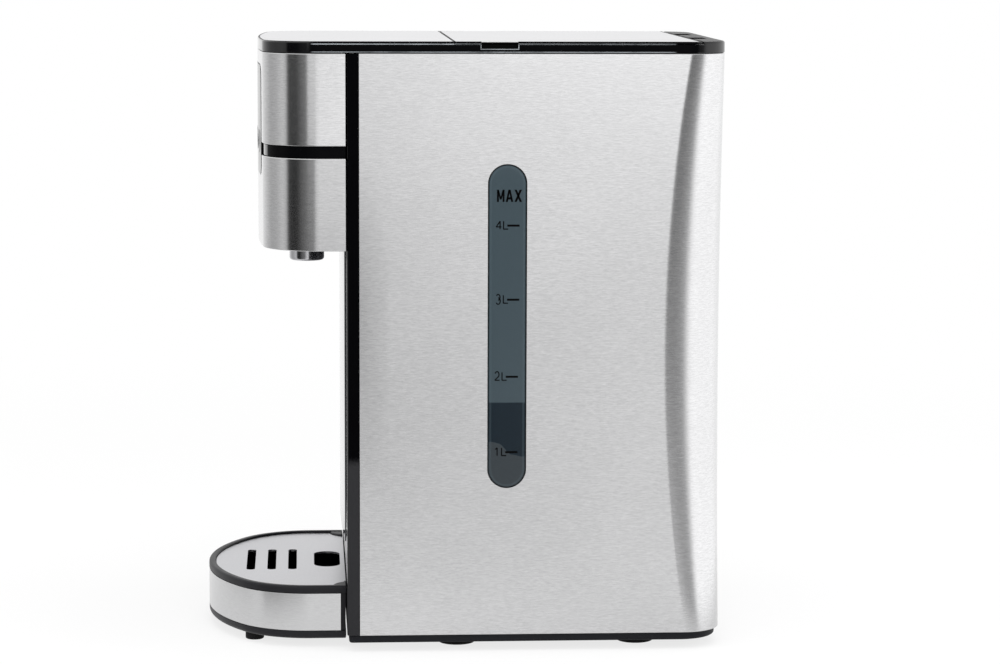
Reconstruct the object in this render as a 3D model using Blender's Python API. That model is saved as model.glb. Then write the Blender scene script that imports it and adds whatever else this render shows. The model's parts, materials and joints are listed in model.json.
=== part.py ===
# Instant hot water dispenser: steel-clad body with a bowed head, a side gauge
# window, a filling lid, a drip tray, and the tank, pump and heater inside.
# Metres, +Z up, front towards -Y, origin on the floor under the middle.

import math

import bmesh
import bpy
from mathutils import Matrix, Vector

# Fits and cuts
GAP = 0.0003                  # left between pieces that touch
OVERRUN = 0.004               # how far a cutter reaches past what it cuts
LEAST_RADIUS = 0.0002         # corner radius that an inset outline never goes below

# Body
BODY_WIDTH = 0.205
BODY_DEPTH = 0.220
BODY_HEIGHT = 0.350           # underside of the base to the top of the lid
REAR_CORNER = 0.0225          # at the rim and at the base
REAR_SWELL = 0.0145           # how much wider the steel's corner turns half way up
FRONT_EDGE = 0.0022
SHELL_THICKNESS = 0.001

# Base and feet
FOOT_HEIGHT = 0.0053          # floor to the underside of the base
FOOT_RADIUS = 0.011
FOOT_CHAMFER = 0.0012
FOOT_IN = 0.0275              # side of the body to a foot's middle
FOOT_FRONT = 0.065            # front of the body to the front feet
FOOT_REAR = 0.171
BASE_BAND = 0.0043            # height of the base that shows under the steel
BASE_FLOOR = 0.0026
BASE_CHAMFER = 0.001
BASE_IN = 0.001               # base inside the steel's sides and front
BASE_REAR_IN = 0.0022         # and inside its rear
BASE_LIP = 0.008
LIP_WALL = 0.002

# Front frame, between the steel wrap and the head
COLUMN_DEPTH = 0.007
FRAME_WALL = 0.0025
SERVICE_WIDTH = 0.120         # opening for the hose and wires into the head
SERVICE_HEIGHT = 0.084
INSERT_WIDTH = 0.176          # bowed panel behind the cup
INSERT_LOW = 0.058
INSERT_EDGE = 0.0008
INSERT_BOW = 0.0016

# Head
HEAD_REACH = 0.0516           # how far its middle stands in front of the body
HEAD_CORNER = 0.033
HEAD_BOW = 0.750
HEAD_HEIGHT = 0.1202          # top of the machine to the head's underside
COVER_THICKNESS = 0.001
BAND_DROP = 0.0602            # top of the machine to the band's upper edge
BAND_WIDTH = 0.0064
BAND_RECESS = 0.0025
BAND_THICKNESS = 0.0012
CHASSIS_WALL = 0.002
HEAD_FLOOR = 0.0025

# Control fascia, display and buttons
FASCIA_WIDTH = 0.128
FASCIA_HEIGHT = 0.064
FASCIA_DROP = 0.015           # top of the machine to its upper edge, and so on below
FASCIA_CORNER = 0.007
FASCIA_THICKNESS = 0.0025
FASCIA_PROUD = 0.0002
FASCIA_BORDER = 0.005         # overlap on the chassis round its opening
BUTTON_COUNT = 5
BUTTON_SIDE = 0.016           # side of the fascia to the outer button's middle
BUTTON_DROP = 0.060
BUTTON_RADIUS = 0.0062
BUTTON_PROUD = 0.0004
BUTTON_TRAVEL = 0.0008
BUTTON_CLEARANCE = 0.0004
BUTTON_FLANGE = 0.0014        # flange width, and
BUTTON_FLANGE_HEIGHT = 0.001  # its height behind the fascia
BUTTON_EDGE = 0.0003
BUTTON_STEM = 0.002
STEM_LENGTH = 0.001           # behind the flange of the outermost button
DISPLAY_WIDTH = 0.044
DISPLAY_HEIGHT = 0.018
DISPLAY_DROP = 0.0335
DISPLAY_THICKNESS = 0.0009
BOARD_THICKNESS = 0.0016
BOARD_SIDE = 0.008            # side of the fascia to the board's end
BOARD_MARGIN = 0.005          # board edge to the fascia's edge, above and below
BOARD_POST_RADIUS = 0.0024
BOARD_POST_IN = 0.0035        # post axis to the board's edge
SWITCH_SIDE = 0.006
SWITCH_HEIGHT = 0.0035

# Spout
SPOUT_OUT = 0.0226            # axis in front of the body
SPOUT_LENGTH = 0.015          # mouth below the head's underside
SPOUT_RADIUS = 0.0105
SPOUT_CHAMFER = 0.0015
SPOUT_MOUTH = 0.0075
SPOUT_MOUTH_DEPTH = 0.004
SPOUT_STEM = 0.0058
NIPPLE_RADIUS = 0.004
NIPPLE_BORE = 0.0026
NIPPLE_LENGTH = 0.012
HOSE_WALL = 0.0017

# Top rim, lid and hinge
RIM_HEIGHT = 0.0066
LID_FRONT = 0.0618            # seam behind the front of the body
LID_REAR = 0.2042
LID_THICKNESS = 0.0015
LID_WELL_LIP = 0.004          # rim left over the tank's front and rear walls
LID_SIDE_LIP = 0.008          # and over its side walls
WELL_CORNER = 0.010
SKIRT_DEPTH = 0.004
SKIRT_WALL = 0.0015
SKIRT_CLEARANCE = 0.001
INLAY_IN = 0.0012             # silver sheet inside the edge of the lid and deck
INLAY_THICKNESS = 0.0005
DECK_SLAB = 0.002             # top wall of the deck over its pocket
DECK_WALL = 0.008
GRIP_MIDDLE = 0.0879          # finger notch behind the front of the body
GRIP_WIDTH = 0.0212
GRIP_HEIGHT = 0.0042
GRIP_DEPTH = 0.003
HINGE_BACK = 0.0053           # hinge axis behind the lid's edge
HINGE_DROP = 0.0041           # and below the top
HINGE_OUT = 0.036
KNUCKLE_RADIUS = 0.003
KNUCKLE_WIDTH = 0.022
KNUCKLE_SIDE_GAP = 0.0005
KNUCKLE_BACK_ROOM = 0.0047
ARM_THICKNESS = 0.0025
ARM_LAP = 0.0015
PIN_RADIUS = 0.0011
PIN_GRIP = 0.006              # length of the pin in each ear

# Tank, gauge window, strainer and float
TANK_FRONT = 0.074            # outside, behind the front of the body
TANK_DEPTH = 0.1217
TANK_CORNER = 0.014
TANK_WALL = 0.0025
TANK_FLOOR = 0.0686           # inside floor above the underside of the base
OUTLET_X = 0.035
LENS_MIDDLE = 0.0926          # behind the front of the body
LENS_WIDTH = 0.0225
LENS_LOW = 0.0914
LENS_HIGH = 0.2799
LENS_FLANGE = 0.0012
LENS_LAP = 0.003
LENS_SINK = 0.0003
STRAINER_RADIUS = 0.011
STRAINER_HEIGHT = 0.013
STRAINER_WALL = 0.0015
STRAINER_SLOT_PAIRS = 4
STRAINER_SLOT = 0.0022
STRAINER_SLOT_HEIGHT = 0.007
FLOAT_X = -0.050
FLOAT_RADIUS = 0.0095
FLOAT_HEIGHT = 0.010
FLOAT_TRAVEL = 0.012
POST_RADIUS = 0.0025
POST_HEAD = 0.0042
POST_FOOT = 0.0075
POST_PLATE = 0.0015
FLOAT_CLEARANCE = 0.0005

# Shelf under the tank
SHELF_THICKNESS = 0.0025
SHELF_SIDE_ROOM = 0.0015
SHELF_LEG = 0.008
SHELF_LEG_IN = 0.016

# Pump, its axis along X
PUMP_X = -0.030               # middle of its housing
PUMP_Y = 0.118                # behind the front of the body
PUMP_AXIS = 0.026             # above the underside of the base
PUMP_RADIUS = 0.017
PUMP_LENGTH = 0.013
PUMP_WALL = 0.0025
PUMP_OUTLET_UP = 0.009
MOTOR_RADIUS = 0.0135
MOTOR_LENGTH = 0.028
MOTOR_CHAMFER = 0.0015
SHAFT_RADIUS = 0.0014
SHAFT_IN_MOTOR = 0.009
IMPELLER_PLATE = 0.0014
IMPELLER_HUB = 0.004
IMPELLER_TIP_ROOM = 0.0012
BLADE_COUNT = 5
BLADE_THICKNESS = 0.0014
CRADLE_LENGTH = 0.016
CRADLE_SIDE = 0.004

# Heater, upright in the space in front of the tank
HEATER_X = -0.045
HEATER_Y = 0.036              # behind the front of the body
HEATER_DROP = 0.0238          # head's underside to the top of the heater
HEATER_LENGTH = 0.118
HEATER_RADIUS = 0.018
HEATER_WALL = 0.002
HEATER_SHOULDER = 0.004
SADDLE_HEIGHT = 0.010
SADDLE_SIDE = 0.004
SADDLE_END = 0.018            # saddle's middle to the end of the heater
CUTOFF_RADIUS = 0.008
CUTOFF_HEIGHT = 0.007
SENSOR_RADIUS = 0.0022
SENSOR_HEIGHT = 0.011
SENSOR_OUT = 0.010

# Power board and rear inlet
POWER_X = 0.046
POWER_WIDTH = 0.076
POWER_HEIGHT = 0.110
POWER_DROP = 0.0338           # head's underside to the top of the board
POWER_STANDOFF = 0.008
RELAY_SIZE = (0.020, 0.015, 0.016)
SINK_SIZE = (0.030, 0.020, 0.040)
CAPACITOR_RADIUS = 0.008
CAPACITOR_HEIGHT = 0.020
PART_SINK = 0.0005            # how far a board's parts reach into the board
INLET_X = 0.045
INLET_UP = 0.040              # middle above the underside of the base
INLET_WIDTH = 0.028
INLET_HEIGHT = 0.021
INLET_CORNER = 0.004
INLET_FLANGE = 0.0025
INLET_LAP = 0.005
INLET_DEPTH = 0.020
INLET_WALL = 0.003
INLET_PIN_COUNT = 3
INLET_PIN_WIDTH = 0.002
INLET_PIN_HEIGHT = 0.004
INLET_PIN_LENGTH = 0.013
INLET_PIN_PITCH = 0.007
VENT_COUNT = 7
VENT_PITCH = 0.009
VENT_WIDTH = 0.003
VENT_LENGTH = 0.032
VENT_UP = 0.100

# Drip tray
TRAY_REACH = 0.083            # how far its middle stands in front of the body
TRAY_WIDTH = 0.176
TRAY_CORNER = 0.050
TRAY_BOW = 0.117
TRAY_TOP = 0.0314             # above the underside of the base
TRAY_DROP = 0.0003            # its underside below that of the base
TRAY_CHAMFER = 0.002
TRAY_BACK_GAP = 0.0005
TRAY_REAR_SHARE = 0.3         # of an inset that the straight rear edge takes
TRAY_RIM = 0.004
TRAY_LEDGE = 0.003
TRAY_FLOOR = 0.0025
TRAY_BAND_LOW = 0.0047
TRAY_BAND_HIGH = 0.0268
TRAY_BAND_THICKNESS = 0.0008
TRAY_BAND_END = 0.0037        # band's ends in front of the body
TRAY_POST = 0.013             # rounding of the stub that ends the rim at each rear corner
TRAY_POST_BEHIND = 0.005      # tray's rear edge to the middle of that rounding
TRAY_POST_DROP = 0.0004
TRAY_FOOT_RADIUS = 0.0055
TRAY_FOOT_IN = 0.027          # side of the tray to a foot's middle
TRAY_FOOT_FRONT = 0.0545
PRONG_OUT = 0.050
PRONG_WIDTH = 0.008
PRONG_HEIGHT = 0.004
PRONG_UP = 0.016
PRONG_LENGTH = 0.004
PLATE_TOP = 0.0300
PLATE_THICKNESS = 0.0013
SLOT_COUNT = 3
SLOT_PITCH = 0.01258
SLOT_FIRST = 0.0573           # in front of the body
SLOT_LENGTH = 0.062
SLOT_WIDTH = 0.0052
FINGER_HOLE_OUT = 0.0111
FINGER_HOLE_LENGTH = 0.0475
FINGER_HOLE_WIDTH = 0.0158

# Facets
CORNER_STEPS = 6
WRAP_STEPS = 8                # heights at which the steel's rear corners are set out
SMALL_CORNER_STEPS = 3
BOW_STEPS = 6
ROUND_STEPS = 20
SMALL_ROUND_STEPS = 12
HOSE_SIDES = 8
HOSE_RINGS = 14
MERGE_DISTANCE = 0.00001
SMOOTH_ANGLE = math.radians(32)

# Looks: colour as seen on screen, roughness, metallic
LOOKS = {
    "brushed_steel": ((0.80, 0.80, 0.81), 0.36, 1.0),
    "silver_sheet": ((0.86, 0.86, 0.87), 0.34, 1.0),
    "chrome": ((0.88, 0.88, 0.89), 0.08, 1.0),
    "heater_steel": ((0.70, 0.69, 0.67), 0.30, 1.0),
    "gloss_black": ((0.035, 0.035, 0.045), 0.12, 0.0),
    "satin_black": ((0.12, 0.12, 0.13), 0.42, 0.0),
    "base_grey": ((0.145, 0.15, 0.165), 0.50, 0.0),
    "insert_grey": ((0.42, 0.43, 0.45), 0.35, 0.6),
    "display_glass": ((0.02, 0.03, 0.05), 0.06, 0.0),
    "gauge_smoke": ((0.28, 0.33, 0.36), 0.16, 0.0),
    "tank_plastic": ((0.62, 0.66, 0.68), 0.20, 0.0),
    "white_plastic": ((0.86, 0.86, 0.84), 0.40, 0.0),
    "rubber": ((0.06, 0.06, 0.065), 0.80, 0.0),
    "silicone": ((0.80, 0.79, 0.75), 0.45, 0.0),
    "board_green": ((0.07, 0.27, 0.16), 0.45, 0.0),
    "motor_zinc": ((0.62, 0.63, 0.65), 0.40, 1.0),
}

# Planes that everything else is placed from
FRONT = (TRAY_REACH - BODY_DEPTH) / 2
REAR = FRONT + BODY_DEPTH
BASE = FOOT_HEIGHT
TOP = BASE + BODY_HEIGHT
HALF = BODY_WIDTH / 2
STEEL_LOW = BASE + BASE_BAND + GAP
RIM_LOW = TOP - RIM_HEIGHT
STEEL_HIGH = RIM_LOW - GAP
FRAME_BACK = FRONT + FRAME_WALL
FLOOR_TOP = BASE + BASE_FLOOR
HEAD_LOW = TOP - HEAD_HEIGHT
BAND_HIGH = TOP - BAND_DROP
BAND_LOW = BAND_HIGH - BAND_WIDTH
FASCIA_HIGH = TOP - FASCIA_DROP
FASCIA_LOW = FASCIA_HIGH - FASCIA_HEIGHT
BUTTON_ROW = TOP - BUTTON_DROP
BUTTON_PITCH = (FASCIA_WIDTH - 2 * BUTTON_SIDE) / (BUTTON_COUNT - 1)
BOARD_WIDTH = FASCIA_WIDTH - 2 * BOARD_SIDE
POWER_HIGH = HEAD_LOW - POWER_DROP
POWER_LOW = POWER_HIGH - POWER_HEIGHT
COVER_RETURN = BAND_RECESS + BAND_THICKNESS
CHASSIS_IN = COVER_RETURN + GAP
TANK_HALF = HALF - SHELL_THICKNESS - GAP - LENS_FLANGE - GAP
TANK_Y0 = FRONT + TANK_FRONT
TANK_Y1 = TANK_Y0 + TANK_DEPTH
TANK_MIDDLE_Y = TANK_Y0 + TANK_DEPTH / 2
TANK_FLOOR_Z = BASE + TANK_FLOOR
TANK_UNDER = TANK_FLOOR_Z - TANK_WALL
SHELF_TOP = TANK_UNDER - GAP
LID_UNDER = TOP - LID_THICKNESS
SEAM = LID_UNDER - GAP
HINGE_Y = FRONT + LID_REAR + HINGE_BACK
HINGE_Z = TOP - HINGE_DROP
TRAY_LOW = BASE - TRAY_DROP
TRAY_BACK = FRONT - TRAY_BACK_GAP
PLATE_IN = TRAY_RIM + GAP
HOSE_INSIDE = NIPPLE_RADIUS + GAP
HOSE_OUTSIDE = HOSE_INSIDE + HOSE_WALL
SPOUT_Y = FRONT - SPOUT_OUT


# Scene and finishes

def clear_scene():
    for obj in list(bpy.data.objects):
        bpy.data.objects.remove(obj, do_unlink=True)


def linear(value):
    return value / 12.92 if value <= 0.04045 else ((value + 0.055) / 1.055) ** 2.4


def add_finish(obj, look):
    colour, roughness, metallic = LOOKS[look]
    material = bpy.data.materials.new(obj.name + "_finish")
    material.use_nodes = True
    shader = material.node_tree.nodes["Principled BSDF"]
    shader.inputs["Base Color"].default_value = (*map(linear, colour), 1.0)
    shader.inputs["Roughness"].default_value = roughness
    shader.inputs["Metallic"].default_value = metallic
    obj.data.materials.append(material)


def add_object(name, data, look=None):
    obj = bpy.data.objects.new(name, data)
    bpy.context.scene.collection.objects.link(obj)
    if look:
        add_finish(obj, look)
    else:
        obj.hide_render = True
        obj.display_type = "WIRE"
    return obj


def from_bmesh(name, shape, look):
    bmesh.ops.recalc_face_normals(shape, faces=shape.faces)
    data = bpy.data.meshes.new(name)
    shape.to_mesh(data)
    shape.free()
    data.shade_smooth()
    data.set_sharp_from_angle(angle=SMOOTH_ANGLE)
    return add_object(name, data, look)


# Outlines in plan, as functions of how far they lie inside the outer one

def arc(middle, radius, start, end, steps):
    angles = [start + (end - start) * i / steps for i in range(steps + 1)]
    return [(middle[0] + radius * math.cos(a), middle[1] + radius * math.sin(a)) for a in angles]


def rounded_path(x0, x1, y0, y1, front_radius, rear_radius, steps=SMALL_CORNER_STEPS):
    def path(inset=0.0):
        points = []
        quarter = math.pi / 2
        corners = ((1, -1, front_radius, -quarter), (1, 1, rear_radius, 0.0),
                   (-1, 1, rear_radius, quarter), (-1, -1, front_radius, 2 * quarter))
        for side, end, radius, start in corners:
            r = max(radius - inset, LEAST_RADIUS)
            x = (x1 if side > 0 else x0) - side * (inset + r)
            y = (y1 if end > 0 else y0) - end * (inset + r)
            points += arc((x, y), r, start, start + quarter, steps)
        return points
    return path


def bowed_path(half_width, reach, corner, bow, rear, rear_share=0.0):
    # right rear, round the right corner, along the bow, and back to the left rear
    def path(inset=0.0):
        bow_y = FRONT - reach + bow
        corner_x = half_width - corner
        corner_y = bow_y - math.sqrt((bow - corner) ** 2 - corner_x ** 2)
        turn = math.atan2(corner_y - bow_y, corner_x)
        r = max(corner - inset, LEAST_RADIUS)
        rear_y = rear - rear_share * inset
        points = [(half_width - inset, rear_y)]
        points += arc((corner_x, corner_y), r, 0.0, turn, CORNER_STEPS)
        points += arc((0.0, bow_y), bow - inset, turn, -math.pi - turn, BOW_STEPS)[1:-1]
        points += arc((-corner_x, corner_y), r, -math.pi - turn, -math.pi, CORNER_STEPS)
        points.append((inset - half_width, rear_y))
        return points
    return path


def wrap_path(inset=0.0, corner=REAR_CORNER):
    # the steel wrap: right front, round the rear corners, left front
    quarter = math.pi / 2
    r = corner - inset
    x = HALF - corner
    y = REAR - corner
    front = FRONT + COLUMN_DEPTH + GAP
    points = [(HALF - inset, front)]
    points += arc((x, y), r, 0.0, quarter, CORNER_STEPS)
    points += arc((-x, y), r, quarter, 2 * quarter, CORNER_STEPS)
    points.append((inset - HALF, front))
    return points


def plan_path(inset=0.0):
    # the whole machine from above, without its tray
    head = head_path(inset)
    wrap = wrap_path(inset)
    return head[1:-1] + wrap[-2:0:-1]


def stadium(length, width, steps=SMALL_ROUND_STEPS):
    # long axis along the first coordinate, centred on zero
    r = width / 2
    straight = length / 2 - r
    quarter = math.pi / 2
    half = steps // 2
    return (arc((straight, 0.0), r, -quarter, quarter, half)
            + arc((-straight, 0.0), r, quarter, 3 * quarter, half))


head_path = bowed_path(HALF, HEAD_REACH, HEAD_CORNER, HEAD_BOW, FRONT - GAP)
tray_path = bowed_path(TRAY_WIDTH / 2, TRAY_REACH, TRAY_CORNER, TRAY_BOW, TRAY_BACK, TRAY_REAR_SHARE)
plate_path = bowed_path(TRAY_WIDTH / 2 - PLATE_IN, TRAY_REACH - PLATE_IN, TRAY_CORNER - PLATE_IN,
                        TRAY_BOW - PLATE_IN, TRAY_BACK)
base_path = rounded_path(BASE_IN - HALF, HALF - BASE_IN, FRONT + BASE_IN, REAR - BASE_REAR_IN,
                         FRONT_EDGE, REAR_CORNER, CORNER_STEPS)
tank_path = rounded_path(-TANK_HALF, TANK_HALF, TANK_Y0, TANK_Y1, TANK_CORNER, TANK_CORNER)
well_path = rounded_path(LID_SIDE_LIP - TANK_HALF, TANK_HALF - LID_SIDE_LIP,
                         TANK_Y0 + LID_WELL_LIP, TANK_Y1 - LID_WELL_LIP, WELL_CORNER, WELL_CORNER)


# Solids

def skin(name, rows, look, closed=True, looped=False):
    # faces between rows of points; closed joins each row's ends, looped joins the last row to the first
    shape = bmesh.new()
    grid = [[shape.verts.new(point) for point in row] for row in rows]
    count = len(grid[0])
    pairs = list(zip(grid, grid[1:]))
    if looped:
        pairs.append((grid[-1], grid[0]))
    for low, high in pairs:
        for i in range(count if closed else count - 1):
            j = (i + 1) % count
            shape.faces.new((low[i], low[j], high[j], high[i]))
    if not looped:
        shape.faces.new(grid[0])
        shape.faces.new(grid[-1])
    elif not closed:
        shape.faces.new([row[0] for row in grid])
        shape.faces.new([row[-1] for row in grid])
    return from_bmesh(name, shape, look)


def loft(name, path, rings, look=None):
    rows = [[(x, y, z) for x, y in path(inset)] for inset, z in rings]
    return skin(name, rows, look)


def sweep(name, path, section, look=None):
    rows = [[(x, y, z) for x, y in path(inset)] for inset, z in section]
    return skin(name, rows, look, closed=False, looped=True)


def prism(name, outline, z0, z1, look=None):
    return skin(name, [[(x, y, z) for x, y in outline] for z in (z0, z1)], look)


def y_prism(name, outline, y0, y1, look=None):
    return skin(name, [[(x, y, z) for x, z in outline] for y in (y0, y1)], look)


def box(name, low, high, look=None):
    shape = bmesh.new()
    bmesh.ops.create_cube(shape, size=1.0)
    size = Vector(high) - Vector(low)
    middle = (Vector(high) + Vector(low)) / 2
    bmesh.ops.transform(shape, matrix=Matrix.Translation(middle) @ Matrix.Diagonal((*size, 1.0)),
                        verts=shape.verts)
    return from_bmesh(name, shape, look)


def turned(name, profile, place, look=None, axis="Z", steps=ROUND_STEPS, ring=False):
    # profile of (radius, height), down the outside; ring closes it round a bore
    data = bpy.data.meshes.new(name)
    count = len(profile)
    edges = [(i, i + 1) for i in range(count - 1)]
    if ring:
        edges.append((count - 1, 0))
    data.from_pydata([(radius, 0.0, z) for radius, z in profile], edges, [])
    obj = add_object(name, data, look)
    screw = obj.modifiers.new("Turn", "SCREW")
    screw.steps = screw.render_steps = steps
    screw.use_merge_vertices = True
    screw.merge_threshold = MERGE_DISTANCE
    screw.use_smooth_shade = True
    obj.location = place
    turns = {"Z": (0.0, 0.0, 0.0), "X": (0.0, math.pi / 2, 0.0), "Y": (-math.pi / 2, 0.0, 0.0),
             "-Y": (math.pi / 2, 0.0, 0.0), "-X": (0.0, -math.pi / 2, 0.0)}
    obj.rotation_euler = turns[axis]
    return obj


def rod(name, radius, start, length, axis, look=None, steps=SMALL_ROUND_STEPS):
    # a plain round bar from start, along the axis
    profile = [(0.0, length), (radius, length), (radius, 0.0), (0.0, 0.0)]
    return turned(name, profile, start, look, axis, steps)


def combine(target, tool, how):
    modifier = target.modifiers.new(tool.name, "BOOLEAN")
    modifier.operation = how
    modifier.solver = "EXACT"
    modifier.object = tool
    return target


def cut(target, tool):
    return combine(target, tool, "DIFFERENCE")


def join(target, tool):
    return combine(target, tool, "UNION")


def keep(target, tool):
    return combine(target, tool, "INTERSECT")


def hose(name, route, look):
    # a smooth tube through the route's points, its inside a running fit on the nipples
    middle = smooth_route(route, HOSE_RINGS)
    rows = []
    side = Vector((0.0, 1.0, 0.0)).cross(middle[1] - middle[0])
    if side.length < GAP:
        side = Vector((1.0, 0.0, 0.0)).cross(middle[1] - middle[0])
    for i, point in enumerate(middle):
        ahead = middle[min(i + 1, len(middle) - 1)] - middle[max(i - 1, 0)]
        ahead.normalize()
        side = (side - ahead * side.dot(ahead)).normalized()
        rows.append((point, side.copy(), ahead.cross(side)))

    def ring(row, radius):
        point, across, up = row
        turns = [2 * math.pi * k / HOSE_SIDES for k in range(HOSE_SIDES)]
        return [point + radius * (math.cos(t) * across + math.sin(t) * up) for t in turns]

    reach = 1 / math.cos(math.pi / HOSE_SIDES)
    rings = [ring(row, HOSE_OUTSIDE) for row in rows]
    rings += [ring(row, HOSE_INSIDE * reach) for row in reversed(rows)]
    return skin(name, rings, look, looped=True)


def smooth_route(route, count):
    # points spread evenly along a curve through the route, which leaves short straight runs straight
    points = [Vector(p) for p in route]
    spans = [(b - a).length for a, b in zip(points, points[1:])]
    slopes = [(b - a) / span for a, b, span in zip(points, points[1:], spans)]
    heading = [slopes[0]]
    for k in range(1, len(spans)):
        mixed = slopes[k - 1] * spans[k] + slopes[k] * spans[k - 1]
        heading.append(mixed / (spans[k - 1] + spans[k]))
    heading.append(slopes[-1])
    fine = []
    for k, span in enumerate(spans):
        for step in range(count):
            t = step / count
            fine.append((1 + 2 * t) * (1 - t) ** 2 * points[k] + t * (1 - t) ** 2 * span * heading[k]
                        + t ** 2 * (3 - 2 * t) * points[k + 1] - t ** 2 * (1 - t) * span * heading[k + 1])
    fine.append(points[-1])
    travelled = [0.0]
    for p, q in zip(fine, fine[1:]):
        travelled.append(travelled[-1] + (q - p).length)
    even = []
    k = 0
    for i in range(count + 1):
        goal = travelled[-1] * i / count
        while k < len(fine) - 2 and travelled[k + 1] < goal:
            k += 1
        share = (goal - travelled[k]) / (travelled[k + 1] - travelled[k])
        even.append(fine[k].lerp(fine[k + 1], share))
    return even


# Base, feet, frame and steel wrap

def build_base():
    lip = FRAME_WALL + GAP - BASE_IN
    lip_top = BASE + BASE_BAND + BASE_LIP
    loft("base_pan", base_path, [
        (BASE_CHAMFER, BASE), (0.0, BASE + BASE_CHAMFER), (0.0, BASE + BASE_BAND),
        (lip, BASE + BASE_BAND), (lip, lip_top), (lip + LIP_WALL, lip_top),
        (lip + LIP_WALL, FLOOR_TOP)], "base_grey")
    height = BASE - GAP
    profile = [(0.0, height), (FOOT_RADIUS, height), (FOOT_RADIUS, FOOT_CHAMFER),
               (FOOT_RADIUS - FOOT_CHAMFER, 0.0), (0.0, 0.0)]
    for end, y in (("front", FOOT_FRONT), ("rear", FOOT_REAR)):
        for side, x in (("left", FOOT_IN - HALF), ("right", HALF - FOOT_IN)):
            turned(f"foot_{end}_{side}", profile, (x, FRONT + y, 0.0), "rubber")


def build_front_frame():
    square = rounded_path(-HALF, HALF, FRONT, FRONT + COLUMN_DEPTH, FRONT_EDGE, LEAST_RADIUS)
    frame = prism("front_frame", square(), STEEL_LOW, STEEL_HIGH, "satin_black")
    inside = HALF - FRAME_WALL
    cut(frame, box("frame_pocket", (-inside, FRAME_BACK, STEEL_LOW - OVERRUN),
                   (inside, FRONT + COLUMN_DEPTH + OVERRUN, STEEL_HIGH - FRAME_WALL)))
    service_high = STEEL_HIGH - CHASSIS_IN
    cut(frame, box("frame_service_opening",
                   (-SERVICE_WIDTH / 2, FRONT - OVERRUN, service_high - SERVICE_HEIGHT),
                   (SERVICE_WIDTH / 2, FRAME_BACK + OVERRUN, service_high)))
    for side in (-1, 1):
        reach = PRONG_WIDTH / 2 + GAP
        slot_high = BASE + PRONG_UP + PRONG_HEIGHT + GAP
        cut(frame, box(f"frame_prong_slot_{side}",
                       (side * PRONG_OUT - reach, FRONT - OVERRUN, BASE + PRONG_UP - GAP),
                       (side * PRONG_OUT + reach, FRAME_BACK + OVERRUN, slot_high)))
    for number, (x, z) in enumerate(power_posts()):
        start = FRAME_BACK - PART_SINK
        join(frame, rod(f"frame_board_post_{number}", BOARD_POST_RADIUS, (x, start, z),
                        POWER_STANDOFF + PART_SINK - GAP, "Y"))


def build_wrap():
    # up the outside and down the inside; the rear corners swell as a parabola from end to end
    shares = [2 * i / WRAP_STEPS - 1 for i in range(WRAP_STEPS + 1)]
    rows = []
    for inset, order in ((0.0, shares), (SHELL_THICKNESS, reversed(shares))):
        for share in order:
            z = (STEEL_LOW + STEEL_HIGH) / 2 + share * (STEEL_HIGH - STEEL_LOW) / 2
            corner = REAR_CORNER + REAR_SWELL * (1 - share ** 2)
            rows.append([(x, y, z) for x, y in wrap_path(inset, corner)])
    wrap = skin("steel_wrap", rows, "brushed_steel", closed=False, looped=True)
    cut(wrap, x_plug("wrap_window", lens_outline(0.0), HALF - SHELL_THICKNESS - OVERRUN, HALF + OVERRUN))
    inlet = rounded_path(INLET_X - INLET_WIDTH / 2, INLET_X + INLET_WIDTH / 2,
                         BASE + INLET_UP - INLET_HEIGHT / 2, BASE + INLET_UP + INLET_HEIGHT / 2,
                         INLET_CORNER, INLET_CORNER)
    cut(wrap, y_prism("wrap_inlet_opening", inlet(), REAR - SHELL_THICKNESS - OVERRUN, REAR + OVERRUN))
    for number in range(VENT_COUNT):
        x = (number - (VENT_COUNT - 1) / 2) * VENT_PITCH
        slot = [(x + b, BASE + VENT_UP + a) for a, b in stadium(VENT_LENGTH, VENT_WIDTH)]
        cut(wrap, y_prism(f"wrap_vent_{number}", slot, REAR - SHELL_THICKNESS - OVERRUN, REAR + OVERRUN))


def lens_outline(inset):
    # upright stadium of the gauge window, as (y, z)
    low = BASE + LENS_LOW
    high = BASE + LENS_HIGH
    outline = stadium(high - low - 2 * inset, LENS_WIDTH - 2 * inset, ROUND_STEPS)
    return [(FRONT + LENS_MIDDLE - b, (low + high) / 2 + a) for a, b in outline]


def x_plug(name, outline, x0, x1, look=None):
    return skin(name, [[(x, y, z) for y, z in outline] for x in (x0, x1)], look)


def build_lens():
    back = HALF - SHELL_THICKNESS - GAP - LENS_FLANGE
    step = back + LENS_FLANGE
    face = HALF - LENS_SINK
    rings = ((-LENS_LAP, back), (-LENS_LAP, step), (GAP, step), (GAP, face))
    skin("gauge_window", [[(x, y, z) for y, z in lens_outline(inset)] for inset, x in rings], "gauge_smoke")


def build_insert():
    # flat against the frame, its face a shallow arc in plan
    half = INSERT_WIDTH / 2
    back = FRONT - GAP
    bow = (half ** 2 + INSERT_BOW ** 2) / (2 * INSERT_BOW)
    reach = math.asin(half / bow)
    middle = (0.0, back - INSERT_EDGE - INSERT_BOW + bow)
    face = arc(middle, bow, -math.pi / 2 - reach, -math.pi / 2 + reach, BOW_STEPS)
    outline = face + [(half, back), (-half, back)]
    prism("front_insert", outline, BASE + INSERT_LOW, HEAD_LOW - GAP, "insert_grey")


# Head: covers, band, chassis, floor, fascia

def folded_cover(name, low, high):
    # a sheet round the head whose top and bottom edges turn inwards
    t = COVER_THICKNESS
    return sweep(name, head_path, [
        (0.0, low), (0.0, high), (COVER_RETURN, high), (COVER_RETURN, high - t), (t, high - t),
        (t, low + t), (COVER_RETURN, low + t), (COVER_RETURN, low)], "brushed_steel")


def fascia_outline(margin):
    half = FASCIA_WIDTH / 2
    path = rounded_path(-half, half, FASCIA_LOW, FASCIA_HIGH, FASCIA_CORNER, FASCIA_CORNER)
    return path(margin)


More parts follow.
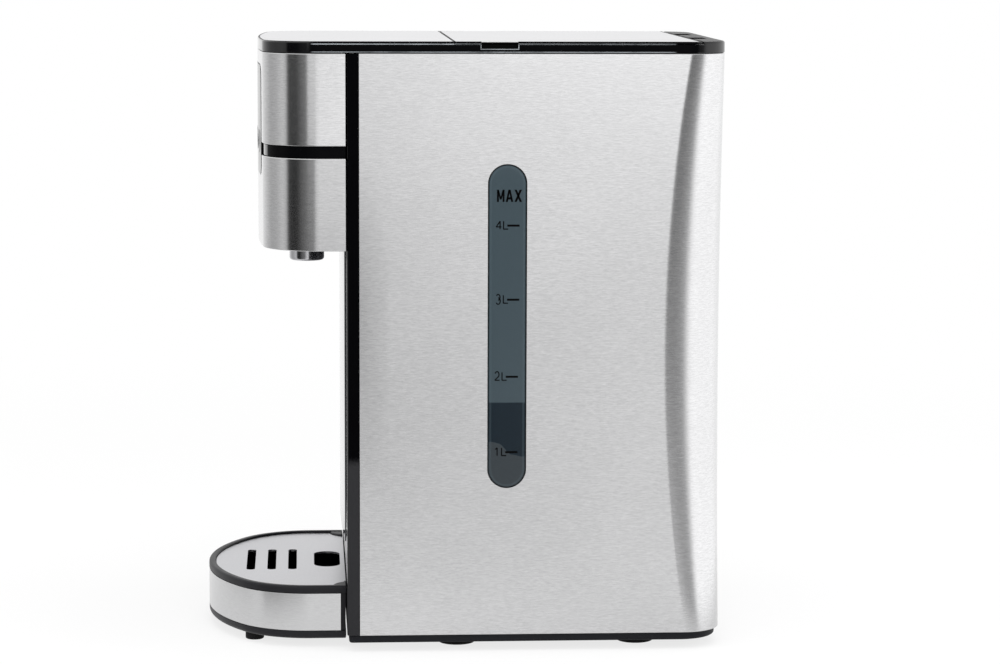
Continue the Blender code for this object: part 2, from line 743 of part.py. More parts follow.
def fascia_front(x, inset=0.0):
    # the bowed surface of the head at x
    return FRONT - HEAD_REACH + HEAD_BOW - math.sqrt((HEAD_BOW - inset) ** 2 - x ** 2)


def build_head():
    lower = folded_cover("head_lower_cover", HEAD_LOW, BAND_LOW - GAP)
    upper = folded_cover("head_upper_cover", BAND_HIGH + GAP, STEEL_HIGH)
    ahead = FRONT - HEAD_REACH - OVERRUN
    behind = fascia_front(FASCIA_WIDTH / 2, CHASSIS_IN + CHASSIS_WALL) + OVERRUN
    opening = y_prism("cover_fascia_opening", fascia_outline(-GAP), ahead, behind)
    cut(lower, opening)
    cut(upper, opening)
    chassis_opening = y_prism("chassis_opening", fascia_outline(FASCIA_BORDER), ahead, behind)
    floor_top = HEAD_LOW + GAP + HEAD_FLOOR
    inner = CHASSIS_IN + CHASSIS_WALL
    chassis = sweep("head_chassis", head_path, [
        (CHASSIS_IN, floor_top + GAP), (CHASSIS_IN, STEEL_HIGH), (inner, STEEL_HIGH),
        (inner, floor_top + GAP)], "satin_black")
    cut(chassis, chassis_opening)
    for side, sign in (("left", -1), ("right", 1)):
        band = sweep(f"head_band_{side}", head_path, [
            (BAND_RECESS, BAND_LOW), (BAND_RECESS, BAND_HIGH),
            (COVER_RETURN, BAND_HIGH), (COVER_RETURN, BAND_LOW)], "gloss_black")
        start = sign * (FASCIA_WIDTH / 2 - FASCIA_BORDER)
        end = sign * (HALF + OVERRUN)
        keep(band, box(f"head_band_half_{side}", (min(start, end), ahead, HEAD_LOW),
                       (max(start, end), FRONT, TOP)))
    floor = prism("head_floor", head_path(CHASSIS_IN), HEAD_LOW + GAP, floor_top, "satin_black")
    cut(floor, rod("head_floor_hole", SPOUT_STEM + GAP, (0.0, SPOUT_Y, HEAD_LOW - OVERRUN),
                   HEAD_FLOOR + 2 * OVERRUN, "Z", steps=ROUND_STEPS))


def bow_strip(inset):
    # the fascia's own stretch of the head's bow, a little wider than it is trimmed to
    half = FASCIA_WIDTH / 2 + GAP
    reach = math.asin(half / HEAD_BOW)
    middle = (0.0, FRONT - HEAD_REACH + HEAD_BOW)
    return arc(middle, HEAD_BOW - inset, -math.pi / 2 + reach, -math.pi / 2 - reach, BOW_STEPS)


def button_places():
    return [(number - (BUTTON_COUNT - 1) / 2) * BUTTON_PITCH for number in range(BUTTON_COUNT)]


def button_seat(x):
    # front of a button's flange, just behind the nearest point of the bowed fascia
    edge = abs(x) + BUTTON_RADIUS + BUTTON_FLANGE
    return fascia_front(edge, FASCIA_THICKNESS - FASCIA_PROUD) + GAP


def board_front():
    deepest = button_seat(button_places()[0]) + BUTTON_FLANGE_HEIGHT + STEM_LENGTH
    return deepest + BUTTON_TRAVEL + GAP + SWITCH_HEIGHT


def board_posts():
    x = BOARD_WIDTH / 2 - BOARD_POST_IN
    low = FASCIA_LOW + BOARD_MARGIN + BOARD_POST_IN
    high = FASCIA_HIGH - BOARD_MARGIN - BOARD_POST_IN
    return [(side * x, z) for side in (-1, 1) for z in (low, high)]


def build_fascia():
    back = FASCIA_THICKNESS - FASCIA_PROUD
    low = FASCIA_LOW - GAP
    high = FASCIA_HIGH + GAP
    fascia = sweep("control_fascia", bow_strip,
                   [(-FASCIA_PROUD, low), (-FASCIA_PROUD, high), (back, high), (back, low)], "gloss_black")
    ahead = FRONT - HEAD_REACH - FASCIA_PROUD - OVERRUN
    keep(fascia, y_prism("fascia_trim", fascia_outline(0.0), ahead, FRONT))
    for number, (x, z) in enumerate(board_posts()):
        start = fascia_front(x, back) - PART_SINK
        join(fascia, rod(f"fascia_post_{number}", BOARD_POST_RADIUS, (x, start, z),
                         board_front() - GAP - start, "Y"))
    for number, x in enumerate(button_places()):
        cut(fascia, rod(f"fascia_button_hole_{number}", BUTTON_RADIUS + BUTTON_CLEARANCE,
                        (x, ahead, BUTTON_ROW), FASCIA_THICKNESS + 2 * OVERRUN, "Y",
                        steps=ROUND_STEPS))
    half = DISPLAY_WIDTH / 2
    face = fascia_front(half, -FASCIA_PROUD)
    low = TOP - DISPLAY_DROP - DISPLAY_HEIGHT / 2
    high = low + DISPLAY_HEIGHT
    cut(fascia, box("fascia_display_pocket", (-half - GAP, ahead, low - GAP),
                    (half + GAP, face + DISPLAY_THICKNESS + GAP, high + GAP)))
    box("display_window", (-half, face, low), (half, face + DISPLAY_THICKNESS, high), "display_glass")


def build_buttons():
    flange = BUTTON_RADIUS + BUTTON_FLANGE
    switch = board_front() - SWITCH_HEIGHT
    for number, x in enumerate(button_places()):
        seat = button_seat(x)
        face = fascia_front(x, -FASCIA_PROUD) - BUTTON_PROUD
        stem = switch - BUTTON_TRAVEL - GAP
        profile = [(0.0, seat - face), (BUTTON_RADIUS - BUTTON_EDGE, seat - face),
                   (BUTTON_RADIUS, seat - face - BUTTON_EDGE), (BUTTON_RADIUS, 0.0),
                   (flange, 0.0), (flange, -BUTTON_FLANGE_HEIGHT), (BUTTON_STEM, -BUTTON_FLANGE_HEIGHT),
                   (BUTTON_STEM, seat - stem), (0.0, seat - stem)]
        turned(f"button_{number + 1}", profile, (x, seat, BUTTON_ROW), "satin_black", "-Y")


def build_control_board():
    y = board_front()
    low = FASCIA_LOW + BOARD_MARGIN
    high = FASCIA_HIGH - BOARD_MARGIN
    board = box("control_board", (-BOARD_WIDTH / 2, y, low),
                (BOARD_WIDTH / 2, y + BOARD_THICKNESS, high), "board_green")
    half = SWITCH_SIDE / 2
    for number, x in enumerate(button_places()):
        join(board, box(f"board_switch_{number}", (x - half, y - SWITCH_HEIGHT, BUTTON_ROW - half),
                        (x + half, y + PART_SINK, BUTTON_ROW + half)))


def build_spout():
    under = HEAD_LOW - SPOUT_CHAMFER
    nipple_low = HEAD_LOW + GAP + HEAD_FLOOR + SPOUT_CHAMFER
    nipple_top = nipple_low + NIPPLE_LENGTH
    low = HEAD_LOW - SPOUT_LENGTH
    turned("spout_nozzle", [
        (NIPPLE_RADIUS, nipple_top), (NIPPLE_RADIUS, nipple_low), (SPOUT_STEM, nipple_low),
        (SPOUT_STEM, HEAD_LOW), (SPOUT_RADIUS - SPOUT_CHAMFER, HEAD_LOW), (SPOUT_RADIUS, under),
        (SPOUT_RADIUS, low + SPOUT_CHAMFER), (SPOUT_RADIUS - SPOUT_CHAMFER, low), (SPOUT_MOUTH, low),
        (SPOUT_MOUTH, low + SPOUT_MOUTH_DEPTH), (NIPPLE_BORE, low + SPOUT_MOUTH_DEPTH + SPOUT_CHAMFER),
        (NIPPLE_BORE, nipple_top)], (0.0, SPOUT_Y, 0.0), "chrome", ring=True)
    return nipple_low


# Top rim, deck and lid

def plan_slab(name, inset, y0, y1, z0, z1, look=None):
    # the part of the plan outline between two lines across the machine
    slab = prism(name, plan_path(inset), z0, z1, look)
    keep(slab, box(name + "_stretch", (-HALF - OVERRUN, y0, z0 - OVERRUN),
                   (HALF + OVERRUN, y1, z1 + OVERRUN)))
    return slab


def rail_front():
    # the rail stands just clear of the lid's lower rear edge as that swings up past the rail's top
    under = HINGE_DROP - LID_THICKNESS
    return HINGE_Y - math.sqrt(HINGE_BACK ** 2 + under ** 2 - HINGE_DROP ** 2) + GAP


def grip_cutters(name):
    y0 = FRONT + GRIP_MIDDLE - GRIP_WIDTH / 2
    for side in (-1, 1):
        inner = side * (HALF - GRIP_DEPTH)
        outer = side * (HALF + OVERRUN)
        yield box(f"{name}_grip_{side}", (min(inner, outer), y0, TOP - GRIP_HEIGHT),
                  (max(inner, outer), y0 + GRIP_WIDTH, TOP + OVERRUN))


def build_top_frame():
    ahead = FRONT - HEAD_REACH - OVERRUN
    seam = FRONT + LID_FRONT
    frame = prism("top_frame", plan_path(), RIM_LOW, TOP, "gloss_black")
    cut(frame, box("top_frame_lid_bed", (-HALF - OVERRUN, seam, SEAM),
                   (HALF + OVERRUN, rail_front(), TOP + OVERRUN)))
    cut(frame, loft("top_frame_well", well_path, [(0.0, RIM_LOW - OVERRUN), (0.0, TOP + OVERRUN)]))
    cut(frame, plan_slab("top_frame_pocket", DECK_WALL, ahead, seam - DECK_WALL,
                         RIM_LOW - OVERRUN, TOP - INLAY_THICKNESS - GAP - DECK_SLAB))
    cut(frame, plan_slab("top_frame_deck_recess", INLAY_IN, ahead, seam - INLAY_IN,
                         TOP - INLAY_THICKNESS - GAP, TOP + OVERRUN))
    for tool in grip_cutters("top_frame"):
        cut(frame, tool)
    for side in (-1, 1):
        half = KNUCKLE_WIDTH / 2 + KNUCKLE_SIDE_GAP
        x = side * HINGE_OUT
        cut(frame, box(f"top_frame_hinge_room_{side}",
                       (x - half, FRONT + LID_REAR - ARM_LAP - KNUCKLE_SIDE_GAP, RIM_LOW - OVERRUN),
                       (x + half, HINGE_Y + KNUCKLE_BACK_ROOM, TOP + OVERRUN)))
        length = KNUCKLE_WIDTH + 2 * (PIN_GRIP + GAP)
        cut(frame, rod(f"top_frame_pin_bore_{side}", PIN_RADIUS + GAP, (x - length / 2, HINGE_Y, HINGE_Z),
                       length, "X"))
    plan_slab("deck_plate", INLAY_IN + GAP, ahead, seam - INLAY_IN - GAP,
              TOP - INLAY_THICKNESS, TOP, "silver_sheet")


def build_lid():
    seam = FRONT + LID_FRONT + GAP
    rear = FRONT + LID_REAR
    lid = plan_slab("lid", 0.0, seam, rear, LID_UNDER, TOP, "gloss_black")
    edge = SKIRT_CLEARANCE
    join(lid, loft("lid_skirt", well_path, [(edge, LID_UNDER - SKIRT_DEPTH),
                                            (edge, LID_UNDER + LID_THICKNESS / 2)]))
    cut(lid, loft("lid_skirt_inside", well_path, [(edge + SKIRT_WALL, LID_UNDER - SKIRT_DEPTH - OVERRUN),
                                                  (edge + SKIRT_WALL, LID_UNDER)]))
    for side in (-1, 1):
        x = side * HINGE_OUT
        half = KNUCKLE_WIDTH / 2
        arm_top = LID_UNDER + LID_THICKNESS / 2
        join(lid, box(f"lid_arm_{side}", (x - half, rear - ARM_LAP, arm_top - ARM_THICKNESS),
                      (x + half, HINGE_Y, arm_top)))
        join(lid, rod(f"lid_knuckle_{side}", KNUCKLE_RADIUS, (x - half, HINGE_Y, HINGE_Z), KNUCKLE_WIDTH, "X",
                      steps=ROUND_STEPS))
        cut(lid, rod(f"lid_knuckle_bore_{side}", PIN_RADIUS + GAP, (x - half - OVERRUN, HINGE_Y, HINGE_Z),
                     KNUCKLE_WIDTH + 2 * OVERRUN, "X"))
        length = KNUCKLE_WIDTH + 2 * PIN_GRIP
        rod(f"hinge_pin_{'left' if side < 0 else 'right'}", PIN_RADIUS, (x - length / 2, HINGE_Y, HINGE_Z),
            length, "X", "heater_steel")
    cut(lid, plan_slab("lid_inlay_recess", INLAY_IN, seam + INLAY_IN, rear - INLAY_IN,
                       TOP - INLAY_THICKNESS - GAP, TOP + OVERRUN))
    for tool in grip_cutters("lid"):
        cut(lid, tool)
    plate = plan_slab("lid_plate", INLAY_IN + GAP, seam + INLAY_IN + GAP, rear - INLAY_IN - GAP,
                      TOP - INLAY_THICKNESS, TOP, "silver_sheet")
    hang_on("lid_axis", (0.0, HINGE_Y, HINGE_Z), (lid, plate))


def hang_on(name, place, pieces):
    # an empty on the joint's axis, which carries the moving pieces
    empty = bpy.data.objects.new(name, None)
    bpy.context.scene.collection.objects.link(empty)
    empty.location = place
    for piece in pieces:
        piece.parent = empty
        piece.matrix_parent_inverse = Matrix.Translation(-Vector(place))
    return empty


# Tank, strainer and float

def build_tank():
    rings = [(0.0, TANK_UNDER), (0.0, STEEL_HIGH), (TANK_WALL, STEEL_HIGH), (TANK_WALL, TANK_FLOOR_Z)]
    tank = loft("water_tank", tank_path, rings, "tank_plastic")
    low = SHELF_TOP - SHELF_THICKNESS - NIPPLE_LENGTH
    spot = (OUTLET_X, TANK_MIDDLE_Y, low)
    join(tank, rod("tank_nipple", NIPPLE_RADIUS, spot, TANK_UNDER + PART_SINK - low, "Z", steps=ROUND_STEPS))
    cut(tank, rod("tank_outlet_bore", NIPPLE_BORE, (OUTLET_X, TANK_MIDDLE_Y, low - OVERRUN),
                  TANK_FLOOR_Z + 2 * OVERRUN - low, "Z"))
    return low


def build_strainer():
    low = TANK_FLOOR_Z + GAP
    high = low + STRAINER_HEIGHT
    inner = STRAINER_RADIUS - STRAINER_WALL
    profile = [(0.0, high), (inner, high), (STRAINER_RADIUS, high - STRAINER_WALL), (STRAINER_RADIUS, low),
               (inner, low), (inner, high - STRAINER_WALL), (0.0, high - STRAINER_WALL)]
    strainer = turned("tank_strainer", profile, (OUTLET_X, TANK_MIDDLE_Y, 0.0), "white_plastic")
    reach = STRAINER_RADIUS + OVERRUN
    half = STRAINER_SLOT / 2
    slot_low = low + STRAINER_WALL
    for number in range(STRAINER_SLOT_PAIRS):
        slot = box(f"strainer_slot_{number}", (-reach, -half, slot_low),
                   (reach, half, slot_low + STRAINER_SLOT_HEIGHT))
        slot.location = (OUTLET_X, TANK_MIDDLE_Y, 0.0)
        slot.rotation_euler = (0.0, 0.0, math.pi * number / STRAINER_SLOT_PAIRS)
        cut(strainer, slot)


def build_float():
    low = TANK_FLOOR_Z + GAP
    seat = low + POST_PLATE
    head = seat + GAP + FLOAT_HEIGHT + FLOAT_TRAVEL + GAP
    top = head + POST_PLATE
    turned("float_post", [(0.0, top), (POST_HEAD, top), (POST_HEAD, head), (POST_RADIUS, head),
                          (POST_RADIUS, seat), (POST_FOOT, seat), (POST_FOOT, low), (0.0, low)],
           (FLOAT_X, TANK_MIDDLE_Y, 0.0), "white_plastic", steps=SMALL_ROUND_STEPS)
    bore = POST_RADIUS + FLOAT_CLEARANCE
    edge = FLOAT_CLEARANCE
    turned("level_float", [
        (FLOAT_RADIUS - edge, FLOAT_HEIGHT), (FLOAT_RADIUS, FLOAT_HEIGHT - edge), (FLOAT_RADIUS, edge),
        (FLOAT_RADIUS - edge, 0.0), (bore, 0.0), (bore, FLOAT_HEIGHT)],
           (FLOAT_X, TANK_MIDDLE_Y, seat + GAP), "white_plastic", ring=True)


def build_shelf():
    half = HALF - SHELL_THICKNESS - SHELF_SIDE_ROOM
    path = rounded_path(-half, half, TANK_Y0, TANK_Y1, TANK_CORNER, TANK_CORNER)
    low = SHELF_TOP - SHELF_THICKNESS
    shelf = prism("tank_shelf", path(), low, SHELF_TOP, "satin_black")
    for side in (-1, 1):
        x = side * (half - SHELF_LEG_IN)
        for end, y in (("front", TANK_Y0 + SHELF_LEG_IN), ("rear", TANK_Y1 - SHELF_LEG_IN)):
            reach = SHELF_LEG / 2
            join(shelf, box(f"shelf_leg_{end}_{side}", (x - reach, y - reach, FLOOR_TOP + GAP),
                            (x + reach, y + reach, low + SHELF_THICKNESS / 2)))
    cut(shelf, rod("shelf_outlet_hole", NIPPLE_RADIUS + GAP, (OUTLET_X, TANK_MIDDLE_Y, low - OVERRUN),
                   SHELF_THICKNESS + 2 * OVERRUN, "Z", steps=ROUND_STEPS))


# Pump, heater and hoses

def saddle(name, low, high, bore_start, bore_radius, bore_length, axis, look):
    # a block hollowed to hold a round piece
    block = box(name, low, high, look)
    cut(block, rod(name + "_bore", bore_radius, bore_start, bore_length, axis, steps=ROUND_STEPS))


def build_pump():
    y = FRONT + PUMP_Y
    z = BASE + PUMP_AXIS
    half = PUMP_LENGTH / 2
    cavity = PUMP_RADIUS - PUMP_WALL
    hole = SHAFT_RADIUS + GAP
    # the cup opens towards +X, and its floor faces the motor
    port_z = z + PUMP_OUTLET_UP
    port_start = y - PUMP_RADIUS - NIPPLE_LENGTH
    housing = rod("pump_housing", PUMP_RADIUS, (PUMP_X - half, y, z), PUMP_LENGTH, "X", "white_plastic",
                  ROUND_STEPS)
    join(housing, rod("pump_outlet_port", NIPPLE_RADIUS, (PUMP_X, port_start, port_z),
                      PUMP_RADIUS + NIPPLE_LENGTH, "Y", steps=ROUND_STEPS))
    cut(housing, rod("pump_cavity", cavity, (PUMP_X - half + PUMP_WALL, y, z), PUMP_LENGTH, "X",
                     steps=ROUND_STEPS))
    cut(housing, rod("pump_shaft_hole", hole, (PUMP_X - half - OVERRUN, y, z), PUMP_LENGTH, "X"))
    cut(housing, rod("pump_outlet_bore", NIPPLE_BORE, (PUMP_X, port_start - OVERRUN, port_z),
                     PUMP_RADIUS + NIPPLE_LENGTH + OVERRUN, "Y"))
    cover_x = PUMP_X + half + GAP
    turned("pump_cover", [
        (NIPPLE_RADIUS, PUMP_WALL + NIPPLE_LENGTH), (NIPPLE_RADIUS, PUMP_WALL), (PUMP_RADIUS, PUMP_WALL),
        (PUMP_RADIUS, 0.0), (NIPPLE_BORE, 0.0), (NIPPLE_BORE, PUMP_WALL + NIPPLE_LENGTH)],
        (cover_x, y, z), "white_plastic", "X", ring=True)
    motor_x = PUMP_X - half - GAP
    motor_end = motor_x - MOTOR_LENGTH
    bore_end = MOTOR_LENGTH - SHAFT_IN_MOTOR
    turned("pump_motor", [
        (0.0, bore_end), (hole, bore_end), (hole, MOTOR_LENGTH), (MOTOR_RADIUS - MOTOR_CHAMFER, MOTOR_LENGTH),
        (MOTOR_RADIUS, MOTOR_LENGTH - MOTOR_CHAMFER), (MOTOR_RADIUS, MOTOR_CHAMFER),
        (MOTOR_RADIUS - MOTOR_CHAMFER, 0.0), (0.0, 0.0)], (motor_end, y, z), "motor_zinc", "X")
    middle = motor_end + MOTOR_LENGTH / 2
    reach = MOTOR_RADIUS + CRADLE_SIDE
    saddle("pump_cradle", (middle - CRADLE_LENGTH / 2, y - reach, FLOOR_TOP + GAP),
           (middle + CRADLE_LENGTH / 2, y + reach, z), (middle - CRADLE_LENGTH, y, z),
           MOTOR_RADIUS + GAP, 2 * CRADLE_LENGTH, "X", "rubber")
    build_impeller(motor_x, y, z, half, cavity)
    return cover_x + PUMP_WALL, port_start


def build_impeller(motor_x, y, z, half, cavity):
    shaft_start = motor_x - SHAFT_IN_MOTOR + GAP - PUMP_X
    plate_low = PUMP_WALL - half + GAP
    plate_high = plate_low + IMPELLER_PLATE
    blade_high = half - GAP
    tip = cavity - IMPELLER_TIP_ROOM
    rotor = turned("pump_impeller", [
        (0.0, blade_high), (IMPELLER_HUB, blade_high), (IMPELLER_HUB, plate_high), (tip, plate_high),
        (tip, plate_low), (SHAFT_RADIUS, plate_low), (SHAFT_RADIUS, shaft_start), (0.0, shaft_start)],
        (PUMP_X, y, z), "white_plastic", "X")
    for number in range(BLADE_COUNT):
        blade = box(f"impeller_blade_{number}", (IMPELLER_HUB / 2, -BLADE_THICKNESS / 2, plate_low + GAP),
                    (tip - GAP, BLADE_THICKNESS / 2, blade_high - GAP))
        step = Matrix.Rotation(2 * math.pi * number / BLADE_COUNT, 4, "Z")
        turn = Matrix.Rotation(math.pi / 2, 4, "Y") @ step
        blade.matrix_world = Matrix.Translation((PUMP_X, y, z)) @ turn
        join(rotor, blade)


def build_heater():
    x = HEATER_X
    y = FRONT + HEATER_Y
    high = HEAD_LOW - HEATER_DROP
    low = high - HEATER_LENGTH
    shoulder = HEATER_SHOULDER
    t = HEATER_WALL
    outer, inner = HEATER_RADIUS, HEATER_RADIUS - t
    outside = [(NIPPLE_RADIUS, high + NIPPLE_LENGTH), (NIPPLE_RADIUS, high), (outer - shoulder, high),
               (outer, high - shoulder), (outer, low + shoulder), (outer - shoulder, low),
               (NIPPLE_RADIUS, low), (NIPPLE_RADIUS, low - NIPPLE_LENGTH)]
    inside = [(NIPPLE_BORE, low - NIPPLE_LENGTH), (NIPPLE_BORE, low + t), (inner - shoulder, low + t),
              (inner, low + shoulder + t), (inner, high - shoulder - t), (inner - shoulder, high - t),
              (NIPPLE_BORE, high - t), (NIPPLE_BORE, high + NIPPLE_LENGTH)]
    turned("heater_tube", outside + inside, (x, y, 0.0), "heater_steel", ring=True)
    reach = HEATER_RADIUS + SADDLE_SIDE
    for end, z in (("lower", low + SADDLE_END), ("upper", high - SADDLE_END)):
        saddle(f"heater_saddle_{end}", (x - reach, FRAME_BACK + GAP, z - SADDLE_HEIGHT / 2),
               (x + reach, y, z + SADDLE_HEIGHT / 2), (x, y, z - SADDLE_HEIGHT),
               HEATER_RADIUS + GAP, 2 * SADDLE_HEIGHT, "Z", "white_plastic")
    rod("thermal_cutoff", CUTOFF_RADIUS, (x + HEATER_RADIUS + GAP, y, (low + high) / 2), CUTOFF_HEIGHT, "X",
        "satin_black", ROUND_STEPS)
    rod("temperature_sensor", SENSOR_RADIUS, (x + SENSOR_OUT, y, high + GAP), SENSOR_HEIGHT, "Z",
        "heater_steel")
    return (x, y, low - NIPPLE_LENGTH), (x, y, high + NIPPLE_LENGTH)


def build_hoses(tank_low, pump_in, pump_out, heater_in, heater_out, spout_low):
    lap = NIPPLE_LENGTH - GAP
    pump_y = FRONT + PUMP_Y
    pump_z = BASE + PUMP_AXIS
    port_z = pump_z + PUMP_OUTLET_UP
    bend = 2 * HOSE_OUTSIDE
    straight = HOSE_OUTSIDE / 2
    pump_tip = pump_in + NIPPLE_LENGTH
    hose("tank_hose", [
        (OUTLET_X, TANK_MIDDLE_Y, tank_low + lap), (OUTLET_X, TANK_MIDDLE_Y, tank_low),
        (OUTLET_X, TANK_MIDDLE_Y, tank_low - straight), (pump_tip + straight, pump_y, pump_z),
        (pump_tip, pump_y, pump_z), (pump_in + GAP, pump_y, pump_z)], "silicone")
    hose("pump_hose", [
        (PUMP_X, pump_out + lap, port_z), (PUMP_X, pump_out, port_z), (PUMP_X, pump_out - straight, port_z),
        (heater_in[0], heater_in[1], heater_in[2] - straight),
        heater_in, (heater_in[0], heater_in[1], heater_in[2] + lap)], "silicone")
    spout_top = spout_low + NIPPLE_LENGTH
    over = spout_top + 2 * bend
    hose("outlet_hose", [
        (heater_out[0], heater_out[1], heater_out[2] - lap), heater_out,
        (heater_out[0], heater_out[1], heater_out[2] + straight),
        (heater_out[0] / 2, FRAME_BACK, over), (0.0, SPOUT_Y, over - bend / 2),
        (0.0, SPOUT_Y, spout_top), (0.0, SPOUT_Y, spout_low + GAP)], "silicone")


# Power board and rear inlet

def power_posts():
    x = POWER_WIDTH / 2 - BOARD_POST_IN
    low = POWER_LOW + BOARD_POST_IN
    high = POWER_HIGH - BOARD_POST_IN
    return [(POWER_X + side * x, z) for side in (-1, 1) for z in (low, high)]


def build_power_board():
    y = FRAME_BACK + POWER_STANDOFF
    low = POWER_LOW
    half = POWER_WIDTH / 2
    face = y + BOARD_THICKNESS
    board = box("power_board", (POWER_X - half, y, low), (POWER_X + half, face, low + POWER_HEIGHT),
                "board_green")
    margin = 2 * BOARD_POST_IN
    x, z = POWER_X - half + margin, low + margin
    join(board, box("board_relay", (x, face - PART_SINK, z),
                    (x + RELAY_SIZE[0], face + RELAY_SIZE[1], z + RELAY_SIZE[2])))
    x, z = POWER_X + half - margin - SINK_SIZE[0], low + POWER_HEIGHT - margin - SINK_SIZE[2]
    join(board, box("board_heat_sink", (x, face - PART_SINK, z),
                    (x + SINK_SIZE[0], face + SINK_SIZE[1], z + SINK_SIZE[2])))
    x, z = POWER_X + half - margin - CAPACITOR_RADIUS, low + margin + CAPACITOR_RADIUS
    join(board, rod("board_capacitor", CAPACITOR_RADIUS, (x, face - PART_SINK, z),
                    CAPACITOR_HEIGHT + PART_SINK, "Y"))


def build_inlet():
    z = BASE + INLET_UP
    path = rounded_path(INLET_X - INLET_WIDTH / 2, INLET_X + INLET_WIDTH / 2,
                        z - INLET_HEIGHT / 2, z + INLET_HEIGHT / 2, INLET_CORNER, INLET_CORNER)
    inside = REAR - SHELL_THICKNESS - GAP
    rings = [(GAP, inside - INLET_DEPTH), (GAP, inside - INLET_FLANGE), (-INLET_LAP, inside - INLET_FLANGE),
             (-INLET_LAP, inside), (GAP, inside), (GAP, REAR)]
    rows = [[(x, y, height) for x, height in path(inset)] for inset, y in rings]
    inlet = skin("mains_inlet", rows, "satin_black")
    back = inside - INLET_DEPTH + INLET_WALL
    cut(inlet, y_prism("inlet_socket", path(INLET_WALL), back, REAR + OVERRUN))
    half_width, half_height = INLET_PIN_WIDTH / 2, INLET_PIN_HEIGHT / 2
    for number in range(INLET_PIN_COUNT):
        x = INLET_X + (number - (INLET_PIN_COUNT - 1) / 2) * INLET_PIN_PITCH
        join(inlet, box(f"inlet_pin_{number}", (x - half_width, back - PART_SINK, z - half_height),
                        (x + half_width, back + INLET_PIN_LENGTH, z + half_height)))


# Drip tray

def tray_post(name, side, radius, low, high):
    spot = (side * (TRAY_WIDTH / 2 - TRAY_RIM), TRAY_BACK + TRAY_POST_BEHIND, low)
    return rod(f"{name}_{side}", radius, spot, high - low, "Z", steps=ROUND_STEPS)


def build_tray():
    rim = BASE + TRAY_TOP
    ledge = BASE + PLATE_TOP - PLATE_THICKNESS - GAP
    recess = TRAY_BAND_THICKNESS + GAP
    low, high = BASE + TRAY_BAND_LOW, BASE + TRAY_BAND_HIGH
    inner = TRAY_RIM + TRAY_LEDGE
    bowl = loft("tray_bowl", tray_path, [
        (TRAY_CHAMFER, TRAY_LOW), (0.0, TRAY_LOW + TRAY_CHAMFER), (0.0, low - GAP), (recess, low - GAP),
        (recess, high + GAP), (0.0, high + GAP), (0.0, rim), (TRAY_RIM, rim), (TRAY_RIM, ledge),
        (inner, ledge), (inner, TRAY_LOW + TRAY_FLOOR)], "satin_black")
    depth = TRAY_REAR_SHARE * inner + GAP
    reach = TRAY_WIDTH / 2 - TRAY_RIM - math.sqrt(TRAY_POST ** 2 - (TRAY_POST_BEHIND + depth) ** 2)
    cut(bowl, box("tray_rear_gate", (-reach, TRAY_BACK - depth, ledge),
                  (reach, TRAY_BACK + OVERRUN, rim + OVERRUN)))
    for side in (-1, 1):
        post = tray_post("tray_post", side, TRAY_POST, TRAY_LOW + TRAY_FLOOR / 2, rim - TRAY_POST_DROP)
        keep(post, loft(f"tray_post_limit_{side}", tray_path, [(recess, 0.0), (recess, TOP)]))
        join(bowl, post)
        reach = PRONG_WIDTH / 2
        join(bowl, box(f"tray_prong_{side}",
                       (side * PRONG_OUT - reach, TRAY_BACK - TRAY_REAR_SHARE * TRAY_RIM, BASE + PRONG_UP),
                       (side * PRONG_OUT + reach, TRAY_BACK + PRONG_LENGTH, BASE + PRONG_UP + PRONG_HEIGHT)))
    band = sweep("tray_band", tray_path, [(0.0, low), (0.0, high), (TRAY_BAND_THICKNESS, high),
                                          (TRAY_BAND_THICKNESS, low)], "brushed_steel")
    reach = TRAY_WIDTH / 2 + OVERRUN
    keep(band, box("tray_band_stretch", (-reach, FRONT - TRAY_REACH - OVERRUN, low - OVERRUN),
                   (reach, FRONT - TRAY_BAND_END, high + OVERRUN)))
    pieces = [bowl, band]
    height = TRAY_LOW - GAP
    foot_x = TRAY_WIDTH / 2 - TRAY_FOOT_IN
    for side, name in ((-1, "left"), (1, "right")):
        spot = (side * foot_x, FRONT - TRAY_FOOT_FRONT, 0.0)
        pieces.append(rod(f"tray_foot_{name}", TRAY_FOOT_RADIUS, spot, height, "Z", "rubber"))
    return hang_on("tray_slide", (0.0, FRONT, BASE), pieces)


def build_drip_plate(tray):
    high = BASE + PLATE_TOP
    low = high - PLATE_THICKNESS
    plate = prism("drip_plate", plate_path(), low, high, "silver_sheet")
    holes = [(FRONT - SLOT_FIRST + number * SLOT_PITCH, SLOT_LENGTH, SLOT_WIDTH)
             for number in range(SLOT_COUNT)]
    holes.append((FRONT - FINGER_HOLE_OUT, FINGER_HOLE_LENGTH, FINGER_HOLE_WIDTH))
    for number, (y, length, width) in enumerate(holes):
        outline = [(a, y + b) for a, b in stadium(length, width)]
        cut(plate, prism(f"plate_hole_{number}", outline, low - OVERRUN, high + OVERRUN))
    for side in (-1, 1):
        cut(plate, tray_post("plate_notch", side, TRAY_POST + GAP, low - OVERRUN, high + OVERRUN))
    lift = hang_on("plate_lift", (0.0, FRONT, high), (plate,))
    lift.parent = tray
    lift.matrix_parent_inverse = Matrix.Translation(-Vector(tray.location))


def build():
    clear_scene()
    build_base()
    build_front_frame()
    build_wrap()
    build_lens()
    build_insert()
    build_head()
    build_fascia()
    build_buttons()
    build_control_board()
    spout_low = build_spout()
    build_top_frame()
    build_lid()
    tank_low = build_tank()
    build_strainer()
    build_float()
    build_shelf()
    pump_in, pump_out = build_pump()
    heater_in, heater_out = build_heater()
    build_hoses(tank_low, pump_in, pump_out, heater_in, heater_out, spout_low)
    build_power_board()
    build_inlet()
    build_drip_plate(build_tray())


build()
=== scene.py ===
import json
import math

import bmesh
import bpy
import numpy as np
from mathutils import Matrix, Vector


